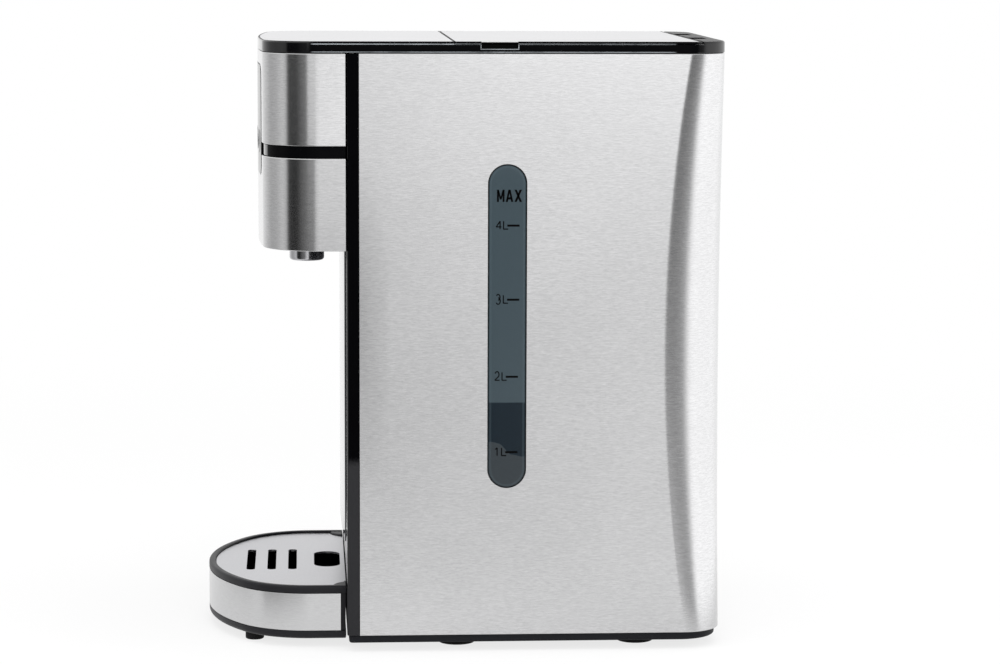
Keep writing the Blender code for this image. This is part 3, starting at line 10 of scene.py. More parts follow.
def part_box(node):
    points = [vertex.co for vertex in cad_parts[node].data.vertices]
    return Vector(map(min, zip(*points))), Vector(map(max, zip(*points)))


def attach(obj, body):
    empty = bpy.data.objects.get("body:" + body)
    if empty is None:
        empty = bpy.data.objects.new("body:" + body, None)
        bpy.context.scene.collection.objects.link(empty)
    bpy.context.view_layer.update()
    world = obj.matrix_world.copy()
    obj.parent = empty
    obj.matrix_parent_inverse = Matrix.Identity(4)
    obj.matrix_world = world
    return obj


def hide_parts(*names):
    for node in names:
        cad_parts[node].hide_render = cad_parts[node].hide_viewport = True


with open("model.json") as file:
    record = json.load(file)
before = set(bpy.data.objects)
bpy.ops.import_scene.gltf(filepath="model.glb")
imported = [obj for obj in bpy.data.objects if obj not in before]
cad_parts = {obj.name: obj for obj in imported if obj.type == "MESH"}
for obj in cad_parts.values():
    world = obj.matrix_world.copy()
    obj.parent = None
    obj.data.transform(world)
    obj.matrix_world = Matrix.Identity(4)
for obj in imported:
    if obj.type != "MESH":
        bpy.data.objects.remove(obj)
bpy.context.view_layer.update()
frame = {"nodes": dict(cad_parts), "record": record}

quarter = math.pi / 2
gap = 0.0003                                    # left between pieces that touch
over = 0.01                                     # how far a cutter runs past what it cuts


# Wires: one socket of a node tree each. + - * between wires and numbers add Math nodes

class Wire:
    def __init__(self, tree, socket=None):
        self.tree, self.socket = tree, socket

    def node(self, kind, settings=None, sockets=None, out=0):
        # any node: its settings first, then the values or links of its sockets
        new = self.tree.nodes.new(kind)
        for key, value in (settings or {}).items():
            if key == "stops":
                for place, colour in value:
                    stop = new.color_ramp.elements.new(place)
                    stop.color = (*colour, 1.0)
                for spare in (0, -1):
                    new.color_ramp.elements.remove(new.color_ramp.elements[spare])
            else:
                setattr(new, key, value)
        for key, value in (sockets or {}).items():
            if isinstance(value, Wire):
                self.tree.links.new(value.socket, new.inputs[key])
            else:
                new.inputs[key].default_value = value
        return Wire(self.tree, new.outputs[out])

    def maths(self, operation, *values):
        return self.node("ShaderNodeMath", {"operation": operation}, dict(enumerate(values)))

    def __add__(self, other):
        return self.maths("ADD", self, other)

    def __sub__(self, other):
        return self.maths("SUBTRACT", self, other)

    def __rsub__(self, other):
        return self.maths("SUBTRACT", other, self)

    def __mul__(self, other):
        return self.maths("MULTIPLY", self, other)

    __radd__ = __add__
    __rmul__ = __mul__

    def rise(self, low, high):
        # 0 below low, 1 above high, a smooth step between them
        return self.node("ShaderNodeMapRange", {"interpolation_type": "SMOOTHSTEP"},
                         {"Value": self, "From Min": low, "From Max": high})

    def between(self, low, high, soft):
        return self.rise(low - soft, low + soft) * (1 - self.rise(high - soft, high + soft))

    def largest(self, other):
        return self.maths("MAXIMUM", self, other)


# Materials. Each reads Object coordinates, in metres

def coordinates(start, kind="Object"):
    # the X, Y and Z wires of a point on the object, or of a direction
    parts = start.node("ShaderNodeSeparateXYZ", {}, {0: start.node("ShaderNodeTexCoord", out=kind)}).socket.node
    return [Wire(start.tree, parts.outputs[axis]) for axis in "XYZ"]


def noise(start, stretch, detail=3.0, distortion=0.0):
    # its fineness per metre is one number, or one for each axis
    scale = (stretch,) * 3 if isinstance(stretch, float) else stretch
    point = start.node("ShaderNodeTexCoord", out="Object")
    place = start.node("ShaderNodeMapping", {}, {"Vector": point, "Scale": scale})
    return start.node("ShaderNodeTexNoise", {},
                      {"Vector": place, "Scale": 1.0, "Detail": detail, "Distortion": distortion}, "Fac")


def tinted(start, share, low, high):
    # a blend of two colours, each a fixed one or a wire
    low, high = (tone if isinstance(tone, Wire) else (*tone, 1.0) for tone in (low, high))
    return start.node("ShaderNodeMix", {"data_type": "RGBA"}, {0: share, 6: low, 7: high}, 2)


def newMaterial(name, constants):
    material = bpy.data.materials.new(name)
    material.use_nodes = True
    shader = material.node_tree.nodes["Principled BSDF"]
    for key, value in constants.items():
        shader.inputs[key].default_value = value
    return material, Wire(material.node_tree), shader


def feed(start, shader, **wires):
    # colour, roughness and normal, each where it varies over the surface
    names = {"colour": "Base Color", "roughness": "Roughness", "normal": "Normal"}
    for key, wire in wires.items():
        start.tree.links.new(wire.socket, shader.inputs[names[key]])


def bumped(start, height, strength, distance):
    return start.node("ShaderNodeBump", {}, {"Strength": strength, "Distance": distance, "Height": height})


brushLook = {
    "dark": (0.565, 0.565, 0.571), "light": (0.735, 0.735, 0.742),
    "streakAlong": 250.0, "streakAcross": 2000.0,   # per metre, along and across the brushing
    "hairAlong": 560.0, "hairAcross": 4000.0, "depth": 0.08,
    "cloud": 12.0, "roughness": 0.18, "spread": 0.06, "anisotropy": 0.2,
    # shares of streak, hair and cloud in the tone, and of hair and streak in the bump
    "toneShares": (0.5, 0.3, 0.2), "toneSpan": (0.25, 0.75), "bumpShares": (0.6, 0.4), "bump": 0.00004,
}
trayLook = {**brushLook, "dark": (0.61, 0.61, 0.616), "light": (0.69, 0.69, 0.697), "depth": 0.05}
# slight unevenness of the sheets: the side dips towards its front edge, the upper cover leans back
sheetLook = {"dent": 0.0022, "dentAlong": (-0.0885, -0.0435), "dentUp": (0.135, 0.245, 0.05), "lean": 0.035}


def sideDip(start):
    # the front edge's dip, over the middle of its height, in metres
    y, z = coordinates(start)[1:]
    return (1 - y.rise(*sheetLook["dentAlong"])) * z.between(*sheetLook["dentUp"]) * -sheetLook["dent"]


def coverLean(start):
    return coordinates(start)[2] * -sheetLook["lean"]


def brushedMetal(name, look, swell):
    # long soft streaks and fine hairs along the brushing, over slow clouds of tone and the sheet's own swell
    constants = {"Metallic": 1.0, "Anisotropic": look["anisotropy"], "Anisotropic Rotation": 0.25}
    material, start, shader = newMaterial(name, constants)
    streak = noise(start, (look["streakAlong"], look["streakAlong"], look["streakAcross"]), 2.0)
    hair = noise(start, (look["hairAlong"], look["hairAlong"], look["hairAcross"]), 1.0)
    cloud = noise(start, look["cloud"], 2.0)
    a, b, c = look["toneShares"]
    tone = streak * a + hair * b + cloud * c
    a, b = look["bumpShares"]
    normal = bumped(start, hair * a + streak * b, look["depth"], look["bump"])
    if swell:
        start.tree.links.new(bumped(start, swell(start), 1.0, 1.0).socket, normal.socket.node.inputs["Normal"])
    feed(start, shader, colour=tinted(start, tone.rise(*look["toneSpan"]), look["dark"], look["light"]),
         roughness=tone * look["spread"] + (look["roughness"] - look["spread"] / 2), normal=normal)
    return material


def plastic(name, look):
    # moulded plastic or rubber: fine grain in the bump, faint mottling in tone and roughness
    look = {**usualPlastic, **look}
    material, start, shader = newMaterial(name, look["constants"])
    grain = noise(start, look["grain"])
    mottle = noise(start, look["mottle"], 2.0)
    dark, light = look["tones"]
    low, high = look["roughness"]
    a, b = look["toneShares"]
    feed(start, shader, colour=tinted(start, mottle * a + grain * b, dark, light),
         roughness=mottle * (high - low) + low, normal=bumped(start, grain, look["strength"], look["bump"]))
    return material


usualPlastic = {"mottle": 30.0, "strength": 0.3, "bump": 0.00003, "toneShares": (0.6, 0.4), "constants": {}}
deepBlack = ((0.0012, 0.0012, 0.0016), (0.0024, 0.0024, 0.0030))
softBlack = ((0.008, 0.008, 0.010), (0.014, 0.014, 0.017))
plasticLooks = {
    "gloss_black": {
        "tones": deepBlack, "roughness": (0.05, 0.13), "grain": 260.0, "mottle": 14.0, "strength": 0.06,
        "constants": {"Specular IOR Level": 0.03}},
    "satin_black": {
        "tones": softBlack, "roughness": (0.34, 0.48), "grain": 2600.0, "strength": 0.35,
        "constants": {"Specular IOR Level": 0.22}},
    "key_black": {"tones": softBlack, "roughness": (0.06, 0.12), "grain": 900.0, "strength": 0.05},
    "base_grey": {
        "tones": ((0.008, 0.0084, 0.0104), (0.013, 0.0138, 0.0162)), "roughness": (0.42, 0.56),
        "grain": 2200.0, "strength": 0.4, "constants": {"Specular IOR Level": 0.12}},
    "rubber": {
        "tones": ((0.006, 0.006, 0.0065), (0.012, 0.012, 0.012)), "roughness": (0.62, 0.85),
        "grain": 1800.0, "strength": 0.5, "constants": {"Specular IOR Level": 0.2}},
    "silicone": {
        "tones": ((0.55, 0.54, 0.48), (0.66, 0.65, 0.58)), "roughness": (0.38, 0.52), "grain": 900.0,
        "constants": {"Subsurface Weight": 0.2, "Subsurface Radius": (0.002, 0.002, 0.001)}},
    "white_plastic": {
        "tones": ((0.62, 0.62, 0.58), (0.72, 0.72, 0.68)), "roughness": (0.34, 0.46), "grain": 1700.0},
    "tank_plastic": {
        "tones": ((0.30, 0.35, 0.38), (0.37, 0.42, 0.45)), "roughness": (0.16, 0.28), "grain": 700.0,
        "constants": {"Transmission Weight": 0.35, "IOR": 1.49}},
    "board_green": {
        "tones": ((0.004, 0.045, 0.016), (0.009, 0.075, 0.028)), "roughness": (0.30, 0.48),
        "grain": 1400.0, "mottle": 260.0},
    "display_glass": {
        "tones": ((0.001, 0.0015, 0.002), (0.003, 0.004, 0.005)), "roughness": (0.02, 0.05),
        "grain": 90.0, "strength": 0.03, "constants": {"Coat Weight": 1.0, "Coat Roughness": 0.02}},
    "print_ink": {
        "tones": ((0.001, 0.001, 0.0012), (0.003, 0.003, 0.0034)), "roughness": (0.45, 0.60),
        "grain": 3000.0, "mottle": 900.0, "constants": {"Specular IOR Level": 0.02}},
}


satinLook = {"sand": 2400.0, "cloud": 16.0, "toneShares": (0.7, 0.3), "toneSpan": (0.25, 0.75), "spread": 0.08,
             "strength": 0.16, "bump": 0.00004}
polishLook = {"rings": (60.0, 60.0, 2600.0), "smear": (120.0, 120.0, 60.0), "twist": 0.6, "darker": 0.86,
              "spread": 0.08, "strength": 0.08, "bump": 0.00002}
paintLook = {"flakes": 3200.0, "cloud": 12.0, "toneShares": (0.6, 0.4), "spread": 0.06, "roughness": 0.05,
             "strength": 0.03, "bump": 0.00001}


def satinSheet(name, dark, light, roughness):
    # silver sheet with a very fine sandy grain
    look = satinLook
    material, start, shader = newMaterial(name, {"Metallic": 1.0})
    sand, cloud = noise(start, look["sand"], 2.0), noise(start, look["cloud"], 2.0)
    a, b = look["toneShares"]
    tone = (sand * a + cloud * b).rise(*look["toneSpan"])
    feed(start, shader, colour=tinted(start, tone, dark, light), roughness=cloud * look["spread"] + roughness,
         normal=bumped(start, sand, look["strength"], look["bump"]))
    return material


def polishedMetal(name, colour, roughness):
    # bright metal with faint turning rings and smears
    look = polishLook
    material, start, shader = newMaterial(name, {"Metallic": 1.0})
    rings, smear = noise(start, look["rings"], 1.0), noise(start, look["smear"], 3.0, look["twist"])
    darker = tuple(look["darker"] * value for value in colour)
    feed(start, shader, colour=tinted(start, smear, darker, colour),
         roughness=smear * look["spread"] + roughness,
         normal=bumped(start, rings, look["strength"], look["bump"]))
    return material


def satinPaint(name, dark, light):
    # grey metallic paint: fine flakes in a smooth coat
    look = paintLook
    material, start, shader = newMaterial(name, {"Metallic": 0.2})
    flakes, cloud = noise(start, look["flakes"], 1.0), noise(start, look["cloud"], 2.0)
    a, b = look["toneShares"]
    feed(start, shader, colour=tinted(start, flakes * a + cloud * b, dark, light),
         roughness=flakes * look["spread"] + look["roughness"],
         normal=bumped(start, flakes, look["strength"], look["bump"]))
    return material


rim = {
    "topRound": 0.0011, "lowRound": 0.0004, "wellLip": 0.004, "sideLip": 0.008, "wellCorner": 0.010,
    "tankFront": 0.0055, "tankRear": 0.1272, "tankHalf": 0.0997, "seam": -0.0067, "lidRear": 0.1357,
    "lidThickness": 0.0015, "lidRound": 0.0009, "lidLowRound": 0.0002, "inlay": 0.0012, "seamInlay": 0.0004,
    "sheet": 0.0005, "sheetRound": 0.00018, "deckSlab": 0.002, "deckWall": 0.008, "gripMiddle": 0.0194,
    "gripWidth": 0.0212, "gripHeight": 0.0042, "gripDepth": 0.003, "hingeY": 0.141, "hingeZ": 0.3512,
    "hingeOut": 0.036, "knuckle": 0.003, "knuckleWidth": 0.022, "pin": 0.0011, "pinGrip": 0.006, "arm": 0.0025,
    "armLap": 0.0015, "boreOver": 0.004, "backRoom": 0.0047, "sideRoom": 0.0005, "skirtDepth": 0.004,
    "skirtWall": 0.0015, "skirtRoom": 0.001, "sheetLap": 0.003, "sheetEdge": 0.00012, "frameEdge": 0.00025,
    "lidEdge": 0.0002}
# line is the colour of painted highlight lines along the rim's straight edges and round the grip notch; the
# notch's width sets how wide its painted highlight is
rimLook = {
    "top": 0.3553, "dull": (0.0016, 0.0016, 0.0020), "line": (0.30, 0.32, 0.34), "soft": 0.0001,
    "lineFront": -0.088, "lineRear": 0.1205, "endSoft": 0.001, "upper": (0.00125, 0.00185),
    "lower": (0.00585, 0.00625), "notchHighlight": 0.00045, "notchFrom": (0.001, 0.0015), "notchSoft": 0.0002,
    "straight": 0.1022, "turn": 0.0004, "edgeHigh": 0.0003, "gloss": (0.0022, 0.0022, 0.0028), "highlightBreakup": 60.0}


def partlyDull(start, gloss, share, tone, shine):
    # the polished shader where the share is 0, a dull one of this tone where it is 1
    dull = start.node("ShaderNodeBsdfPrincipled", {}, {"Specular IOR Level": shine, "Roughness": 0.3,
                                                       "Base Color": tone})
    both = start.node("ShaderNodeMixShader", {}, {0: share, 1: Wire(start.tree, gloss.outputs[0]), 2: dull})
    start.tree.links.new(both.socket, start.tree.nodes["Material Output"].inputs["Surface"])


# low and the mottle's light end beside it are the grey of a painted floor reflection on the lower stretch of
# the flat sides, up to lowTop
columnLook = {
    "black": (0.0012, 0.0012, 0.0015), "worn": (0.0026, 0.0026, 0.0032), "low": (0.027, 0.027, 0.029),
    "floorReflectionLight": (0.033, 0.033, 0.035), "lowTop": 0.1125, "lowSoft": 0.003, "ragged": 0.004, "mottle": 900.0,
    "side": 0.1021, "turn": 0.0004, "glossLow": 0.040, "glossSoft": 0.004}


def columnBlack():
    # polished in front and round the corner; the flat sides are dull, with a painted reflection of the floor
    # greying their lower stretch
    look = columnLook
    constants = {"Roughness": 0.07, "Base Color": (*look["black"], 1.0)}
    material, start, gloss = newMaterial("column_black", constants)
    x, z = coordinates(start)[::2]
    side = start.maths("ABSOLUTE", x).rise(look["side"] - look["turn"], look["side"])
    side = side.largest(1 - z.rise(look["glossLow"] - look["glossSoft"], look["glossLow"]))
    mottle = noise(start, look["mottle"], 2.0)
    upper = tinted(start, mottle, look["black"], look["worn"])
    # the lower tone is a painted reflection of the floor, with a ragged top
    lower = tinted(start, mottle, look["low"], look["floorReflectionLight"])
    top = look["lowTop"] + (mottle - 0.5) * look["ragged"]
    tone = tinted(start, (z - top).rise(-look["lowSoft"], look["lowSoft"]), lower, upper)
    partlyDull(start, gloss, side, tone, 0.0)
    return material


def rimBlack():
    # gloss black at the turned corners; the straight sides are duller, with painted highlight lines along their
    # upper and lower edges and round the grip notch
    look, soft = rimLook, rimLook["soft"]
    constants = {"Specular IOR Level": 0.5, "Roughness": 0.07, "Base Color": (*look["gloss"], 1.0)}
    material, start, gloss = newMaterial("rim_black", constants)
    x, y, z = coordinates(start)
    side = start.maths("ABSOLUTE", x).rise(look["straight"] - look["turn"], look["straight"])
    down = look["top"] - z
    along = y.between(look["lineFront"], look["lineRear"], look["endSoft"])
    notch = start.maths("ABSOLUTE", y - rim["gripMiddle"]) - rim["gripWidth"] / 2
    notch = notch.largest(down - rim["gripHeight"])
    outside = notch.rise(0.0, look["notchSoft"])
    # painted highlights: light lines at two depths below the top and round the grip notch, on the straight
    # sides only
    lines = down.between(*look["upper"], soft).largest(down.between(*look["lower"], soft)) * along * outside
    lines = lines.largest(notch.between(0.0, look["notchHighlight"], soft) * down.rise(*look["notchFrom"])) * side
    # slow noise breaks up the painted highlight lines
    highlightBreakup = noise(start, look["highlightBreakup"], 2.0).rise(0.25, 0.55) * 0.5 + 0.5
    edge = z.rise(look["top"] - look["edgeHigh"], look["top"] - soft)
    tone = tinted(start, lines * highlightBreakup, look["dull"], look["line"])
    partlyDull(start, gloss, side.largest(edge).largest(1 - outside), tone, 0.03)
    return material


bandLook = {"mottle": 260.0, "glossRear": -0.1132, "fade": 0.0008}


def bandBlack():
    # polished where the band turns towards the front; its flat stretch is duller
    constants = {"Roughness": 0.06, "Coat Weight": 1.0, "Coat Roughness": 0.04,
                 "Base Color": (*deepBlack[0], 1.0)}
    material, start, gloss = newMaterial("band_black", constants)
    rear = bandLook["glossRear"]
    flat = coordinates(start)[1].rise(rear - bandLook["fade"], rear)
    partlyDull(start, gloss, flat, tinted(start, noise(start, bandLook["mottle"], 2.0), *deepBlack), 0.03)
    return material


gauge = {
    "middleY": 0.0241, "halfWidth": 0.01125, "low": 0.0967, "high": 0.2852,
    "glass": (0.038, 0.058, 0.070), "glassLow": (0.051, 0.071, 0.083),
    # from the window's edge inwards: painted shade along the edge, then a faint painted refraction highlight
    # just inside it
    "edge": (0.012, 0.017, 0.020), "edgeShadeIn": (0.0005, 0.0011),
    "lip": (0.080, 0.112, 0.130), "glintIn": (0.0011, 0.0022, 0.0003), "glintShare": 0.2,
    "water": (0.006, 0.013, 0.020), "waterTop": 0.1469, "waterSoft": 0.0004,
    # the tank's floor: its edge is a ripple that steps down towards the rear
    "sediment": (0.034, 0.042, 0.048), "floorTop": 0.1232, "floorSoft": 0.0003, "stepFrom": (-0.0045, 0.0030),
    "stepDown": 0.0075, "ripple": 520.0, "rippleHeight": 0.0006,
}


def smokedWindow():
    # the tank seen through smoked plastic: air above, dark water, a paler floor with a wavy edge; painted shade
    # along the window's edge and a painted highlight just inside it
    constants = {"Coat Weight": 0.12, "Coat Roughness": 0.06, "Specular IOR Level": 0.12}
    material, start, shader = newMaterial("smoked_window", constants)
    y, up = coordinates(start)[1:]
    across = y - gauge["middleY"]
    cloud = noise(start, (40.0, 40.0, 14.0), 3.0, 0.4)
    scratch = noise(start, (300.0, 900.0, 40.0), 2.0)
    tone = up.rise(gauge["low"], gauge["high"]) * 0.7 + cloud * 0.3
    wave = gauge["floorTop"] - across.rise(*gauge["stepFrom"]) * gauge["stepDown"]
    wave = wave + across.maths("SINE", across * gauge["ripple"]) * gauge["rippleHeight"]
    above = (up - wave).rise(-gauge["floorSoft"], gauge["floorSoft"])
    top, soft = gauge["waterTop"], gauge["waterSoft"]
    inWater = above * (1 - up.rise(top - soft, top + soft))
    # distance in from the window's edge, which is a long slot with round ends
    radius = gauge["halfWidth"]
    lowEnd = (gauge["low"] + radius) - up
    highEnd = up - (gauge["high"] - radius)
    beyond = lowEnd.largest(highEnd).largest(0.0)
    inward = radius - start.maths("SQRT", across * across + beyond * beyond)
    mix = tinted(start, tone, gauge["glassLow"], gauge["glass"])
    # lip is a painted refraction highlight inside the edge, and edge is painted shade at the window's edge
    for share, colour in ((1 - above, "sediment"), (inWater, "water"),
                          (inward.between(*gauge["glintIn"]) * gauge["glintShare"], "lip"),
                          (1 - inward.rise(*gauge["edgeShadeIn"]), "edge")):
        mix = tinted(start, share, mix, gauge[colour])
    feed(start, shader, colour=mix, roughness=scratch * 0.10 + 0.10,
         normal=bumped(start, scratch, 0.05, 0.00002))
    return material


finishes = {name: plastic(name, look) for name, look in plasticLooks.items()}
for name, dark, light, roughness in (("silver_sheet", (0.72, 0.72, 0.735), (0.84, 0.84, 0.855), 0.26),
                                     ("tray_sheet", (0.50, 0.50, 0.52), (0.66, 0.66, 0.68), 0.30)):
    finishes[name] = satinSheet(name, dark, light, roughness)
for name, colour, roughness in (("chrome", (0.60, 0.60, 0.62), 0.12),
                                ("heater_steel", (0.52, 0.51, 0.48), 0.24),
                                ("motor_zinc", (0.44, 0.45, 0.48), 0.34)):
    finishes[name] = polishedMetal(name, colour, roughness)
finishes["insert_grey"] = satinPaint("insert_grey", (0.030, 0.031, 0.035), (0.048, 0.050, 0.055))
for name, look, swell in (("brushed_steel", brushLook, None), ("side_steel", brushLook, sideDip),
                          ("upper_steel", brushLook, coverLean), ("tray_steel", trayLook, None)):
    finishes[name] = brushedMetal(name, look, swell)
for name, make in (("gauge_smoke", smokedWindow), ("rim_black", rimBlack), ("column_black", columnBlack),
                   ("band_black", bandBlack)):
    finishes[name] = make()
print("finishes made:", len(finishes))


# Outlines from above: points and outward normals, so that an inset line is points - inset * normals

body = {"half": 0.1025, "front": -0.0685, "rear": 0.1515, "rearCorner": 0.0225, "rearSwell": 0.0145,
        "reach": 0.0516, "headCorner": 0.033, "bow": 0.75, "frontEdge": 0.0022, "columnDepth": 0.007}


def arcLine(x, y, radius, start, end, steps):
    # a circle's stretch: centre + radius * (cos, sin)
    angles = np.linspace(start, end, steps + 1)
    normals = np.column_stack([np.cos(angles), np.sin(angles)])
    return np.array([x, y]) + radius * normals, normals


def joined(*lines):
    # lines end to end, without the points that repeat the one before them
    points, normals = (np.vstack([np.atleast_2d(line[k]) for line in lines]) for k in (0, 1))
    fresh = np.ones(len(points), bool)
    fresh[1:] = np.linalg.norm(np.diff(points, axis=0), axis=1) > 1e-6
    return points[fresh], normals[fresh]


def bowedLine(half, reach, corner, bow, rear, lean=0.0):
    # right rear, round a corner, along the shallow bow, round a corner, left rear
    bowY = body["front"] - reach + bow
    cornerX = half - corner
    cornerY = bowY - math.sqrt((bow - corner) ** 2 - cornerX ** 2)
    turn = math.atan2(cornerY - bowY, cornerX)
    return joined(([half, rear], [1.0, lean]), arcLine(cornerX, cornerY, corner, 0.0, turn, 20),
                  arcLine(0.0, bowY, bow, turn, -math.pi - turn, 24),
                  arcLine(-cornerX, cornerY, corner, -math.pi - turn, -math.pi, 20),
                  ([-half, rear], [-1.0, lean]))


def wrapLine(r=body["rearCorner"]):
    # right front, round the two rear corners, left front
    front, x, y = body["front"] + body["columnDepth"] + gap, body["half"] - r, body["rear"] - r
    return joined(([body["half"], front], [1.0, 0.0]), arcLine(x, y, r, 0.0, quarter, 24),
                  arcLine(-x, y, r, quarter, 2 * quarter, 24), ([-body["half"], front], [-1.0, 0.0]))


def roundedLine(x0, x1, y0, y1, frontRadius, rearRadius=None, steps=12):
    # a rectangle with round corners, closed
    rearRadius = rearRadius or frontRadius
    corners = ((1, -1, frontRadius, -quarter), (1, 1, rearRadius, 0.0), (-1, 1, rearRadius, quarter),
               (-1, -1, frontRadius, 2 * quarter))
    return joined(*[arcLine((x1 if a > 0 else x0) - a * r, (y1 if b > 0 else y0) - b * r, r, start,
                            start + quarter, steps) for a, b, r, start in corners])


def slotLine(length, width, steps=16):
    # a slot with round ends, long along the first axis, centred on zero
    r = width / 2
    return joined(arcLine(length / 2 - r, 0.0, r, -quarter, quarter, steps),
                  arcLine(r - length / 2, 0.0, r, quarter, 3 * quarter, steps))


headLine = bowedLine(body["half"], body["reach"], body["headCorner"], body["bow"], body["front"] - gap)
sideLine = wrapLine()
planLine = joined((headLine[0][1:-1], headLine[1][1:-1]), (sideLine[0][-2:0:-1], sideLine[1][-2:0:-1]))


def inset(line, distance):
    # the line moved in by the distance, along its normals
    return line[0] - distance * line[1], line[1]


def filleted(corners, steps=4, closed=True):
    # corners of (a, b, radius): each becomes the arc that touches both of its sides
    shape = np.array([corner[:2] for corner in corners], float)
    rows = []
    for k, (a, b, radius) in enumerate(corners):
        here = shape[k]
        if radius <= 0 or (not closed and k in (0, len(corners) - 1)):
            rows.append(here[None])
            continue
        before, after = shape[k - 1] - here, shape[(k + 1) % len(corners)] - here
        before, after = before / np.linalg.norm(before), after / np.linalg.norm(after)
        half = math.acos(np.clip(before @ after, -1, 1)) / 2
        middle = here + (before + after) / np.linalg.norm(before + after) * radius / math.sin(half)
        first = here + before * radius / math.tan(half) - middle
        last = here + after * radius / math.tan(half) - middle
        share = np.linspace(0, 1, steps + 1)[:, None]
        opening = math.pi - 2 * half
        rows.append(middle + (np.sin((1 - share) * opening) * first + np.sin(share * opening) * last)
                    / math.sin(opening))
    return np.vstack(rows)


def slabEdge(low, high, lowRound, highRound, steps=4, lap=0.004):
    # a flat slab's edge: in from below, up the side with a round at each end, and in again
    return filleted([(lap, low, 0.0), (0.0, low, lowRound), (0.0, high, highRound), (lap, high, 0.0)],
                    steps, closed=False)


# Meshes

def placed(name, data):
    piece = bpy.data.objects.new(name, data)
    bpy.context.scene.collection.objects.link(piece)
    return piece


def solid(name, points, faces):
    # a closed mesh: repeated points merged, faces turned outwards, smooth up to the sharpest angle
    mesh = bpy.data.meshes.new(name)
    mesh.from_pydata(points.tolist(), [], faces)
    work = bmesh.new()
    work.from_mesh(mesh)
    bmesh.ops.remove_doubles(work, verts=work.verts, dist=1e-6)
    bmesh.ops.recalc_face_normals(work, faces=work.faces)
    work.to_mesh(mesh)
    work.free()
    mesh.shade_smooth()
    mesh.set_sharp_from_angle(angle=math.radians(32))
    return placed(name, mesh)


def gridFaces(rows, columns, rowsClosed, columnsClosed):
    # quads between neighbours on a grid of points, wrapped round where it is closed
    i = np.arange(rows if rowsClosed else rows - 1)[:, None]
    j = np.arange(columns if columnsClosed else columns - 1)[None, :]
    nextRow, nextColumn = (i + 1) % rows, (j + 1) % columns
    return np.stack([i * columns + j, i * columns + nextColumn, nextRow * columns + nextColumn,
                     nextRow * columns + j], -1).reshape(-1, 4).tolist()


def ribbon(name, grid):
    # a grid of points: each row a closed section, the first and the last row filled
    rows, columns = grid.shape[:2]
    faces = gridFaces(rows, columns, False, True)
    faces += [list(range(columns)), list(range((rows - 1) * columns, rows * columns))]
    return solid(name, grid.reshape(-1, 3), faces)


def levelled(plan, heights):
    # points from their places in plan and their heights
    return np.concatenate([plan, np.broadcast_to(heights, plan.shape[:2] + (1,))], 2)


def carried(name, line, section):
    # a closed section of (inset, height) carried along an open line, with flat ends
    points, normals = line
    plan = points[:, None, :] - section[None, :, :1] * normals[:, None, :]
    return ribbon(name, levelled(plan, section[None, :, 1:]))


def stacked(name, line, rings, axes=(0, 1, 2)):
    # rings of (inset, height) round a closed line, closed by the first and the last
    points, normals = line
    plan = points[None, :, :] - rings[:, None, :1] * normals[None, :, :]
    return ribbon(name, levelled(plan, rings[:, None, 1:])[:, :, np.argsort(axes)])


def prism(name, line, low, high, axes=(0, 1, 2)):
    return stacked(name, line, np.array([[0.0, low], [0.0, high]]), axes)


def block(name, low, high):
    x, y, z = (sorted(pair) for pair in zip(low, high))
    corners = np.array([[a, b] for a, b in ((x[0], y[0]), (x[1], y[0]), (x[1], y[1]), (x[0], y[1]))])
    return prism(name, (corners, corners * 0), z[0], z[1])


def turned(name, profile, centre, axis="Z", steps=64, ring=False):
    # radius and height turned round an axis; a ring's profile closes on itself
    angles = np.linspace(0, 4 * quarter, steps, endpoint=False)
    r, z = profile[:, 0], profile[:, 1]
    cloud = np.stack([np.cos(angles)[:, None] * r, np.sin(angles)[:, None] * r,
                      np.broadcast_to(z, (steps, len(z)))], -1).reshape(-1, 3)
    cloud = cloud[:, {"X": [2, 0, 1], "Y": [1, 2, 0], "Z": [0, 1, 2]}[axis]]
    return solid(name, cloud + np.array(centre), gridFaces(steps, len(z), True, ring))


def applied(piece):
    graph = bpy.context.evaluated_depsgraph_get()
    graph.update()
    mesh = bpy.data.meshes.new_from_object(piece.evaluated_get(graph), depsgraph=graph)
    piece.modifiers.clear()
    piece.data = mesh


def settled(piece, cutters=(), added=(), kept=(), edge=0.0, segments=2):
    # Booleans in turn, then a narrow bevel on each sharp edge; all of it is applied
    tools = [("UNION", tool) for tool in added] + [("INTERSECT", tool) for tool in kept]
    tools += [("DIFFERENCE", tool) for tool in cutters]
    for kind, tool in tools:
        modifier = piece.modifiers.new(kind, "BOOLEAN")
        modifier.operation, modifier.solver, modifier.object = kind, "EXACT", tool
    if edge:
        bevel = piece.modifiers.new("edge", "BEVEL")
        bevel.width, bevel.segments, bevel.limit_method = edge, segments, "ANGLE"
        bevel.angle_limit = math.radians(33)
    applied(piece)
    piece.data.shade_smooth()
    piece.data.set_sharp_from_angle(angle=math.radians(46))
    for kind, tool in tools:
        bpy.data.objects.remove(tool, do_unlink=True)
    return piece


bodyOf = {name: key for key, names in frame["record"]["behaviour"]["bodies"].items() for name in names}
slotOf = {entry["node"]: entry["material_slot"] for entry in frame["record"]["subparts"]}


def dressed(piece, node, finish=None, stands=True):
    # the piece takes its finish, rides with the node's body and, as a rule, stands for the node
    even = piece.modifiers.new("even", "WEIGHTED_NORMAL")       # flat faces stay flat beside their round edges
    even.keep_sharp, even.weight = True, 60
    applied(piece)
    piece.data.materials.clear()
    piece.data.materials.append(finishes[finish or slotOf[node]])
    if stands:
        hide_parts(node)
    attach(piece, bodyOf[node])
    return piece


